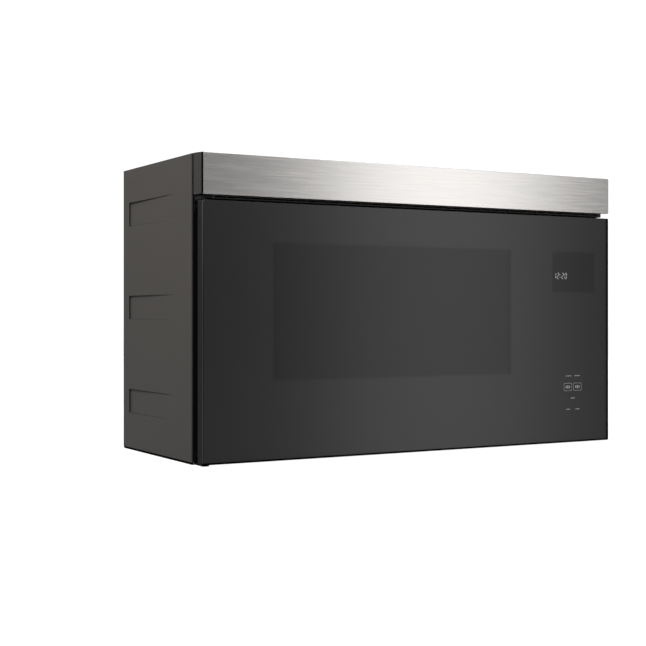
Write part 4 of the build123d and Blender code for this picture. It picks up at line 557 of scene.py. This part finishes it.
def laminations():
    # stacked iron sheets with some rust
    look = {
        "gap": rgb(0.10, 0.08),
        "sheet": rgb(0.24, 0.05),
        "layers": 260.0,
        "uneven": 0.4,
        "rust": dict(scale=45.0, detail=5.0, rough=0.65),
        "rustSpots": (0.5, 0.75),
        "rustCover": 0.5,
        "rustColour": (0.16, 0.085, 0.045, 1),
        "rough": (0.42, 0.62),
        "relief": dict(strength=0.4, distance=0.0002),
    }
    iron = Finish("laminations", Metallic=0.85)
    layers = iron.waves(look["layers"], "Y", look["uneven"])
    rust = iron.noise(**look["rust"]).ramp(*look["rustSpots"]) * look["rustCover"]
    base = iron.mix(layers, look["gap"], look["sheet"])
    iron.feed("Base Color", iron.mix(rust, base, look["rustColour"]))
    iron.feed("Roughness", layers.between(*look["rough"]))
    iron.relief(layers, **look["relief"])
    return iron.material


def screenMetal():
    # blackened sheet with staggered round holes
    look = {
        "tones": (0.014, 0.022),
        "cloud": 26.0,
        "rough": (0.38, 0.50),
        "pitch": 0.0024,
        "radius": 0.00082,
        "soft": 0.00012,
        "rows": math.sqrt(3),  # distance of like rows, in pitches
        "relief": dict(strength=0.4, distance=0.0002),
    }
    metal = Finish("screenMetal", Specular_IOR_Level=0.4)
    across, deep, tall = metal.axes()
    pitch, rows = look["pitch"], look["rows"]

    def away(shift):
        # distance to the nearest hole of one of the two sets of rows
        u = (across / pitch + shift).part() - 0.5
        v = ((tall / (pitch * rows) + shift).part() - 0.5) * rows
        return (u * u + v * v).root() * pitch

    near = away(0.0).least(away(0.5))
    solid = near.ramp(look["radius"] - look["soft"], look["radius"] + look["soft"])
    cloud = metal.noise(look["cloud"])
    metal.feed("Base Color", metal.greys(cloud, look["tones"]))
    metal.feed("Roughness", cloud.between(*look["rough"]))
    metal.feed("Alpha", solid)
    metal.relief(solid, **look["relief"])
    return metal.material


def clearGlass():
    look = {
        "dark": (0.80, 0.83, 0.82, 1),
        "pale": (0.90, 0.92, 0.91, 1),
        "smear": dict(scale=16.0, detail=4.0, rough=0.6),
        "rough": (0.01, 0.05),
    }
    pane = Finish("clearGlass", IOR=1.5, Transmission_Weight=0.92)
    smear = pane.noise(**look["smear"])
    pane.feed("Base Color", pane.mix(smear, look["dark"], look["pale"]))
    pane.feed("Roughness", smear.between(*look["rough"]))
    return pane.material


def frontArea(node):
    # left, right, bottom and top of a node, seen from the front
    low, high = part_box(node)
    return low.x, high.x, low.z, high.z


# Door front, in the frame's metres: x from the middle, z from the bottom
doorFront = {
    "window": (-0.2682, 0.1706, 0.1214, 0.3250),  # left, right, bottom and top
    "windowSoft": 0.0022,
    "windowBand": 0.012,
    "display": frontArea("display_module"),
    "displaySoft": 0.0012,
    "clock": (0.2606, 0.2783, 0.2888),  # left, bottom and top
    "glassSide": 0.00008,  # this and the next three are depths from the pane's own edges
    "bevelSide": 0.0006,
    "rightRim": 0.0054,
    "lowRim": 0.0030,
    "edgeHighlightFade": (0.20, 0.43),  # levels between which the painted highlight on the pane's side edge grows pale
    "markLift": 0.00006,
}


def insideMask(across, tall, area, soft):
    # 1 inside the area, 0 outside, with soft edges
    x0, x1, z0, z1 = area
    sides = across.ramp(x0 - soft, x0 + soft) * (1 - across.ramp(x1 - soft, x1 + soft))
    ends = tall.ramp(z0 - soft, z0 + soft) * (1 - tall.ramp(z1 - soft, z1 + soft))
    return sides * ends


def tintedGlass():
    # one pane over the whole door, with the window and the display printed behind it
    look = {
        "tone": 0.0160,
        "span": (0.97, 1.03),
        "windowTone": 0.0135,
        "bandTone": 0.82,
        "bandCover": 0.5,
        "displayTone": 0.0125,
        "edgeHighlightTone": 0.055,
        "coat": 0.92,
        "windowCoat": 0.75,
        "bandCoat": 0.06,
        "displayCoat": 0.74,
        "smear": dict(scale=5.0, detail=4.0, rough=0.6),
        "rough": (0.30, 0.36),
        "wave": dict(scale=3.0, detail=1.0),
        "relief": dict(strength=0.02, distance=0.0002),
    }
    pane = Finish("tintedGlass", Specular_IOR_Level=0.0, Coat_Roughness=0.26, Coat_IOR=1.5)
    across, deep, tall = pane.axes()
    window = insideMask(across, tall, doorFront["window"], doorFront["windowSoft"])
    display = insideMask(across, tall, doorFront["display"], doorFront["displaySoft"])
    left, right = doorFront["window"][:2]
    width = doorFront["windowBand"]
    core = across.ramp(left, left + width) * (1 - across.ramp(right - width, right))
    band = window * (1 - core)
    low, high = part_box("door_glass")
    side = across.size().above(high.x - doorFront["glassSide"])
    # painted shade along the pane's edges: a black line inside the side edge, and black rims at the right
    # and at the bottom
    bevel = across.size().above(high.x - doorFront["bevelSide"]) * (1 - side)
    rightRim = across.above(high.x - doorFront["rightRim"])
    lowRim = tall.below(low.z + doorFront["lowRim"])
    black = bevel.most(rightRim).most(lowRim)
    smear = pane.noise(**look["smear"])
    tone = pane.greys(smear, look["span"], look["tone"])
    tone = pane.mix(window, tone, rgb(look["windowTone"]))
    tone = pane.mix(band * look["bandCover"], tone, rgb(look["windowTone"] * look["bandTone"]))
    tone = pane.mix(display, tone, rgb(look["displayTone"]))
    # painted highlight on the pane's side edge, paler towards the top
    edge = pane.mix(tall.ramp(*doorFront["edgeHighlightFade"]), rgb(look["tone"]), rgb(look["edgeHighlightTone"]))
    tone = pane.mix(side, tone, edge)
    pane.feed("Base Color", pane.mix(black, tone, rgb(paintedShadeTone)))
    coat = look["coat"] - window * (look["coat"] - look["windowCoat"])
    coat = coat - band * look["bandCoat"] - display * (look["coat"] - look["displayCoat"])
    pane.feed("Coat Weight", coat * (1 - black))
    pane.feed("Roughness", smear.between(*look["rough"]))
    pane.relief(pane.noise(**look["wave"]), **look["relief"])
    return pane.material


def printedMark():
    look = {
        "tone": 0.50,
        "span": (0.9, 1.0),
        "wear": dict(scale=900.0, detail=3.0),
        "rough": (0.45, 0.6),
    }
    ink = Finish("printedMark", Specular_IOR_Level=0.3)
    wear = ink.noise(**look["wear"])
    ink.feed("Base Color", ink.greys(wear, look["span"], look["tone"]))
    ink.feed("Roughness", wear.between(*look["rough"]))
    return ink.material


def litSegment():
    look = {
        "tones": (0.16, 0.20),
        "dim": (0.72, 0.74, 0.76, 1),
        "lit": (0.86, 0.88, 0.90, 1),
        "spread": dict(scale=500.0, detail=2.0),
    }
    glow = Finish("litSegment", Emission_Strength=0.42)
    spread = glow.noise(**look["spread"])
    glow.feed("Base Color", glow.greys(spread, look["tones"]))
    glow.feed("Emission Color", glow.mix(spread, look["dim"], look["lit"]))
    return glow.material


print("finishes defined")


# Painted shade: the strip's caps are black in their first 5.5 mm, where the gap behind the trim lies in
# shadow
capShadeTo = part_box("strip_end_left")[0].y + 0.0055

finishes = {
    "cabinet_paint": cabinetPaint(),
    "cap_plastic": moulded("capPlastic", tone=0.030, rough=0.46, grain=2400.0, depth=0.18, warm=0.06,
                           edge=0.0012, gapTo=capShadeTo),
    "brushed_trim": brushedTrim(),
    "black_plastic": moulded("blackPlastic", tone=0.010, rough=0.50),
    "zinc_steel": zincSheet(),
    "face_enamel": moulded("faceEnamel", tone=0.004, rough=0.60, grain=900.0, depth=0.10, gloss=0.18),
    "black_steel": moulded("blackSteel", tone=0.003, rough=0.70, grain=1500.0, depth=0.12, gloss=0.12),
    "oven_enamel": ovenEnamel(),
    "ceramic_plate": glassCeramic(),
    "aluminium_part": plainAluminium(),
    "iron_core": laminations(),
    "bright_steel": brightSteel(),
    "wheel_plastic": moulded("wheelPlastic", tone=0.05, rough=0.42, grain=1800.0, depth=0.2, warm=0.0),
    "lamp_part": milkyLens(),
    "mica": micaSheet(),
    "circuit_board": circuitBoard(),
    "charcoal": charcoalBed(),
    "tinted_glass": tintedGlass(),
    "shell_plastic": moulded("shellPlastic", tone=0.007, rough=0.55, grain=3000.0, depth=0.16,
                             warm=0.01, gloss=0.25),
    "screen_metal": screenMetal(),
    "clear_glass": clearGlass(),
    "display_plastic": moulded("displayFace", tone=0.008, rough=0.25, grain=5000.0, depth=0.05,
                               warm=0.0),
}

for entry in frame["record"]["subparts"]:
    node = frame["nodes"][entry["node"]]
    node.data.materials.clear()
    node.data.materials.append(finishes[entry["material_slot"]])
print("finishes on the nodes")


def newPiece(name, mesh, finish, body):
    data = bpy.data.meshes.new(name)
    mesh.normal_update()
    mesh.to_mesh(data)
    mesh.free()
    data.materials.append(finish)
    piece = bpy.data.objects.new(name, data)
    bpy.context.scene.collection.objects.link(piece)
    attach(piece, body)


def addPlate(mesh, outline, y0, y1):
    # flat plate facing the front, from an outline of (x, z) points
    frontRing = [mesh.verts.new((x, y0, z)) for x, z in outline]
    backRing = [mesh.verts.new((x, y1, z)) for x, z in outline]
    mesh.faces.new(frontRing)
    mesh.faces.new(list(reversed(backRing)))
    count = len(outline)
    for index in range(count):
        after = (index + 1) % count
        mesh.faces.new((frontRing[index], backRing[index], backRing[after], frontRing[after]))


def addRing(mesh, outer, inner, y0, y1):
    # flat ring facing the front, between two outlines with as many points each
    rings = []
    for outline in (outer, inner):
        for y in (y0, y1):
            rings.append([mesh.verts.new((x, y, z)) for x, z in outline])
    outFront, outBack, inFront, inBack = rings
    count = len(outer)
    for index in range(count):
        after = (index + 1) % count
        mesh.faces.new((outFront[index], inFront[index], inFront[after], outFront[after]))
        mesh.faces.new((outBack[index], outBack[after], inBack[after], inBack[index]))
        mesh.faces.new((outFront[index], outFront[after], outBack[after], outBack[index]))
        mesh.faces.new((inFront[index], inBack[index], inBack[after], inFront[after]))


def roundedOutline(x0, x1, z0, z1, radius, steps=5):
    points = []
    corners = ((x1 - radius, z1 - radius, 0), (x0 + radius, z1 - radius, 90))
    corners += ((x0 + radius, z0 + radius, 180), (x1 - radius, z0 + radius, 270))
    for cx, cz, start in corners:
        for step in range(steps + 1):
            angle = math.radians(start + 90 * step / steps)
            points.append((cx + radius * math.cos(angle), cz + radius * math.sin(angle)))
    return points


def touchMarks():
    # generic marks of the touch keys: broken bars for words, and two framed keys with a sign each
    keys = {
        "bars": (  # left, right, level
            (0.2868, 0.2995, 0.1150), (0.3055, 0.3180, 0.1150),
            (0.2976, 0.3070, 0.0775),
            (0.2880, 0.2962, 0.0587), (0.3080, 0.3168, 0.0587),
        ),
        "barHeight": 0.0013,
        "barRadius": 0.0003,
        "dashes": 3,
        "dashShare": 0.72,
        "frames": ((0.2826, 0.2998, 0.0899, 0.1028), (0.3032, 0.3208, 0.0899, 0.1028)),
        "frameRadius": 0.0016,
        "frameLine": 0.00045,
        "strokes": ((0.30, 0.0020), (0.50, 0.0028), (0.70, 0.0020)),  # share across, half height
        "strokeHalf": 0.0009,
        "strokeRadius": 0.0004,
        "steps": 2,
    }
    mesh = bmesh.new()
    y0, y1 = frontY - doorFront["markLift"], frontY
    half = keys["barHeight"] / 2
    for x0, x1, level in keys["bars"]:
        pitch = (x1 - x0) / keys["dashes"]
        for dash in range(keys["dashes"]):
            start = x0 + dash * pitch
            end = start + pitch * keys["dashShare"]
            bar = roundedOutline(start, end, level - half, level + half, keys["barRadius"], keys["steps"])
            addPlate(mesh, bar, y0, y1)
    radius, line = keys["frameRadius"], keys["frameLine"]
    wide = keys["strokeHalf"]
    for x0, x1, z0, z1 in keys["frames"]:
        outer = roundedOutline(x0, x1, z0, z1, radius)
        inner = roundedOutline(x0 + line, x1 - line, z0 + line, z1 - line, radius - line)
        addRing(mesh, outer, inner, y0, y1)
        middle = (z0 + z1) / 2
        for share, rise in keys["strokes"]:
            centre = x0 + share * (x1 - x0)
            corners = (centre - wide, centre + wide, middle - rise, middle + rise)
            addPlate(mesh, roundedOutline(*corners, keys["strokeRadius"], keys["steps"]), y0, y1)
    newPiece("touchMarks", mesh, printedMark(), "door")


def clockDigits():
    # seven-segment clock, leaning to the right; each digit lists its lit segments
    lit = {"1": "bc", "2": "abged", "0": "abcdef"}
    look = {
        "text": "12:20",
        "thick": 0.00115,
        "lean": 0.06,
        "cell": 0.0066,
        "wide": 0.0048,
        "gap": 1.1,  # from a digit's corner to a segment's point, in half thicknesses
        "colon": 0.0034,
        "colonRise": 0.2,
        "dotRadius": 0.5,
        "dotSteps": 2,
    }
    x0, z0, z1 = doorFront["clock"]
    mesh = bmesh.new()
    half = look["thick"] / 2
    top, middle, bottom = z1 - half, (z0 + z1) / 2, z0 + half
    y0, y1 = frontY - doorFront["markLift"], frontY

    def addLeaning(shape):
        addPlate(mesh, [(x + (z - z0) * look["lean"], z) for x, z in shape], y0, y1)

    def addSegment(ax, az, bx, bz):
        # hexagonal bar between two points, level or upright
        cut = half * look["gap"]
        if abs(ax - bx) > abs(az - bz):
            shape = [(ax + cut, az), (ax + 2 * cut, az + half), (bx - 2 * cut, az + half)]
            shape += [(bx - cut, az), (bx - 2 * cut, az - half), (ax + 2 * cut, az - half)]
            shape.reverse()
        else:
            shape = [(ax, az - cut), (ax + half, az - 2 * cut), (ax + half, bz + 2 * cut)]
            shape += [(ax, bz + cut), (ax - half, bz + 2 * cut), (ax - half, az - 2 * cut)]
        addLeaning(shape)

    def addColon(pen):
        rise = (z1 - z0) * look["colonRise"]
        for level in (middle - rise, middle + rise):
            corners = (pen - half, pen + half, level - half, level + half)
            addLeaning(roundedOutline(*corners, half * look["dotRadius"], look["dotSteps"]))

    pen = x0
    for sign in look["text"]:
        if sign == ":":
            addColon(pen)
            pen += look["colon"]
            continue
        left, right = pen + half, pen + look["wide"] - half
        places = {
            "a": (left, top, right, top), "d": (left, bottom, right, bottom),
            "g": (left, middle, right, middle), "b": (right, top, right, middle),
            "c": (right, middle, right, bottom), "e": (left, middle, left, bottom),
            "f": (left, top, left, middle),
        }
        for letter in lit[sign]:
            addSegment(*places[letter])
        pen += look["cell"]
    newPiece("clockDigits", mesh, litSegment(), "door")


# Expanded aluminium mesh of the grease filters, kept off the pocket of the pull ring
weave = {
    "rim": 0.0076,
    "pitch": 0.0042,
    "slant": 32.0,
    "wide": 0.0011,
    "thick": 0.0005,
    "top": 0.00295,
    "pullBack": 0.019,
    "pullRadius": 0.0106,
    "shortestLine": 0.002,
    "shortestEnd": 0.001,
}


def addStrand(mesh, start, end, z0, z1):
    # flat wire lying in a level layer, from start to end
    along = (end - start).normalized()
    side = Vector((-along.y, along.x)) * weave["wide"] / 2
    corners = [start + side, start - side, end - side, end + side]
    lower = [mesh.verts.new((point.x, point.y, z0)) for point in corners]
    upper = [mesh.verts.new((point.x, point.y, z1)) for point in corners]
    mesh.faces.new(list(reversed(lower)))
    mesh.faces.new(upper)
    count = len(corners)
    for index in range(count):
        after = (index + 1) % count
        mesh.faces.new((lower[index], lower[after], upper[after], upper[index]))


def insideArea(middle, along, area):
    # the part of a line that lies inside the area, as two points
    x0, x1, y0, y1 = area
    first, last = -1.0, 1.0  # a metre either way, more than any filter's reach
    for place, step, least, most in ((middle.x, along.x, x0, x1), (middle.y, along.y, y0, y1)):
        one, two = (least - place) / step, (most - place) / step
        first, last = max(first, min(one, two)), min(last, max(one, two))
    if last - first < weave["shortestLine"]:
        return None
    return middle + along * first, middle + along * last


def roundPull(ends, pull):
    # a strand's stretches outside the pull ring's pocket
    radius = weave["pullRadius"]
    start, end = ends
    along = (end - start).normalized()
    foot = (pull - start).dot(along)
    miss = (start + along * foot - pull).length
    if miss >= radius or not 0 < foot < (end - start).length:
        return [(start, end)]
    half = math.sqrt(radius * radius - miss * miss)
    stretches = [(start, start + along * (foot - half)), (start + along * (foot + half), end)]
    return [pair for pair in stretches if (pair[1] - pair[0]).dot(along) > weave["shortestEnd"]]


def filterMesh(side):
    # two layers of slanted strands inside the filter's frame
    low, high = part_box("grease_filter_" + side)
    rim = weave["rim"]
    area = (low.x + rim, high.x - rim, low.y + rim, high.y - rim)
    centre = Vector(((low.x + high.x) / 2, (low.y + high.y) / 2))
    pull = Vector((centre.x, high.y - weave["pullBack"]))
    reach = math.hypot(high.x - low.x, high.y - low.y) / 2
    count = int(reach / weave["pitch"])
    mesh = bmesh.new()
    for layer, turn in enumerate((weave["slant"], -weave["slant"])):
        along = Vector((math.cos(math.radians(turn)), math.sin(math.radians(turn))))
        across = Vector((-along.y, along.x))
        top = weave["top"] - layer * weave["thick"]
        for index in range(-count, count + 1):
            ends = insideArea(centre + across * (index * weave["pitch"]), along, area)
            if ends:
                for start, end in roundPull(ends, pull):
                    addStrand(mesh, start, end, top - weave["thick"], top)
    finish = finishes["aluminium_part"]
    newPiece("filterMesh_" + side, mesh, finish, "filter_" + side)


touchMarks()
clockDigits()
for side in ("left", "right"):
    filterMesh(side)
print("marks, clock and filter meshes made")


# Camera at the photo's place: level, turned to the right, from the front left
camera = {
    "place": (-1.1424, -1.8435, 0.2216),
    "turn": -29.623,
    "focal": 1288.6,  # in pixels of the photo
    "image": 646,
    "horizonRow": 312.73,
    "sensor": 36.0,
    "clip": (0.02, 60),
}


def makeCamera():
    data = bpy.data.cameras.new("camera")
    data.sensor_width = camera["sensor"]
    data.lens = camera["focal"] / camera["image"] * camera["sensor"]
    data.shift_y = (camera["horizonRow"] - camera["image"] / 2) / camera["image"]
    data.clip_start, data.clip_end = camera["clip"]
    eye = bpy.data.objects.new("camera", data)
    eye.location = camera["place"]
    eye.rotation_euler = (math.radians(90), 0, math.radians(camera["turn"]))
    bpy.context.scene.collection.objects.link(eye)
    bpy.context.scene.camera = eye


# The background is white to the camera; everything else sees a dim sky, brighter above
studio = {
    "colour": (1, 1, 1, 1),
    "white": 1.1,
    "fill": 0.15,
    "fillLow": 0.20,
    "fillHigh": 1.80,
    "fillTurn": 0.35,
}


def makeWorld():
    world = bpy.data.worlds.new("studio")
    bpy.context.scene.world = world
    world.use_nodes = True
    tree = world.node_tree
    tree.nodes.clear()
    start = Wire(tree, None)
    seen = start.node("LightPath", output="Is Camera Ray")
    sky = start.node("TexCoord", output="Generated")
    height = start.node("SeparateXYZ", inputs={"Vector": sky}, output="Z")
    rise = height.ramp(-studio["fillTurn"], studio["fillTurn"])
    strength = rise.between(studio["fill"] * studio["fillLow"], studio["fill"] * studio["fillHigh"])
    fill = start.node("Background", inputs={"Color": studio["colour"], "Strength": strength})
    backdrop = start.node("Background", inputs={"Color": studio["colour"], "Strength": studio["white"]})
    both = start.node("MixShader", inputs={0: seen, 1: fill, 2: backdrop})
    end = tree.nodes.new("ShaderNodeOutputWorld")
    tree.links.new(both.socket, end.inputs["Surface"])


# Nearly clear floor, so that the white background shows; it isn't seen from below
pad = {
    "reach": 14.0,
    "cells": 4,
    "drop": 0.0005,
    "tone": 0.86,
    "span": (0.99, 1.0),
    "cloud": dict(scale=1.5, detail=3.0),
    "glow": 0.30,
    "alpha": 0.12,
}


def makeFloor():
    mesh = bmesh.new()
    bmesh.ops.create_grid(mesh, x_segments=pad["cells"], y_segments=pad["cells"], size=pad["reach"])
    data = bpy.data.meshes.new("floor")
    mesh.to_mesh(data)
    mesh.free()
    floor = bpy.data.objects.new("floor", data)
    floor.location = (0, 0, footZ - pad["drop"])
    bpy.context.scene.collection.objects.link(floor)
    pale = Finish("paleFloor", Roughness=0.9, Specular_IOR_Level=0.0, Emission_Color=(1, 1, 1, 1),
                  Emission_Strength=pad["glow"])
    pale.feed("Base Color", pale.greys(pale.noise(**pad["cloud"]), pad["span"], pad["tone"]))
    below = pale.node("NewGeometry", output="Backfacing")
    pale.feed("Alpha", (1 - below) * pad["alpha"])
    data.materials.append(pale.material)
    floor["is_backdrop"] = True


lights = {
    "frontBox": dict(place=(1.48, -2.25, 0.55), target=(0.05, -0.16, 0.25), size=(0.75, 3.2), power=13.0),
    "leftBox": dict(place=(-1.6, -0.2, 2.1), target=(-0.3, 0, 0.2), size=(1.3, 1.3), power=76.0),
    "faceBox": dict(place=(-0.45, -2.7, 2.6), target=(0, 0, 0.2), size=(0.9, 0.9), power=22.0),
    "topBox": dict(place=(0, -0.6, 3.2), target=(0, 0, 0.2), size=(3.0, 3.0), power=50.0),
    "lowBox": dict(place=(0, 0.1, -2.0), target=(0, 0.1, 0), size=(0.7, 0.4), power=14.0),
    "rearBox": dict(place=(2.4, 2.6, 1.9), target=(0.2, 0.1, 0.2), size=(2.4, 2.4), power=90.0),
}


def softLight(name, place, target, size, power):
    data = bpy.data.lights.new(name, "AREA")
    data.shape = "RECTANGLE"
    data.size, data.size_y = size
    data.energy = power
    lamp = bpy.data.objects.new(name, data)
    lamp.location = place
    aim = Vector(target) - Vector(place)
    lamp.rotation_euler = aim.to_track_quat("-Z", "Y").to_euler()
    lamp.visible_camera = False
    bpy.context.scene.collection.objects.link(lamp)


makeCamera()
bpy.context.scene.view_settings.view_transform = "Standard"
makeWorld()
makeFloor()
for name, settings in lights.items():
    softLight(name, **settings)
print("camera and studio made")

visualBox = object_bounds()
boxes = {"cad": cadBox, "visual": visualBox}
{name: [list(corner) for corner in box] for name, box in boxes.items()}
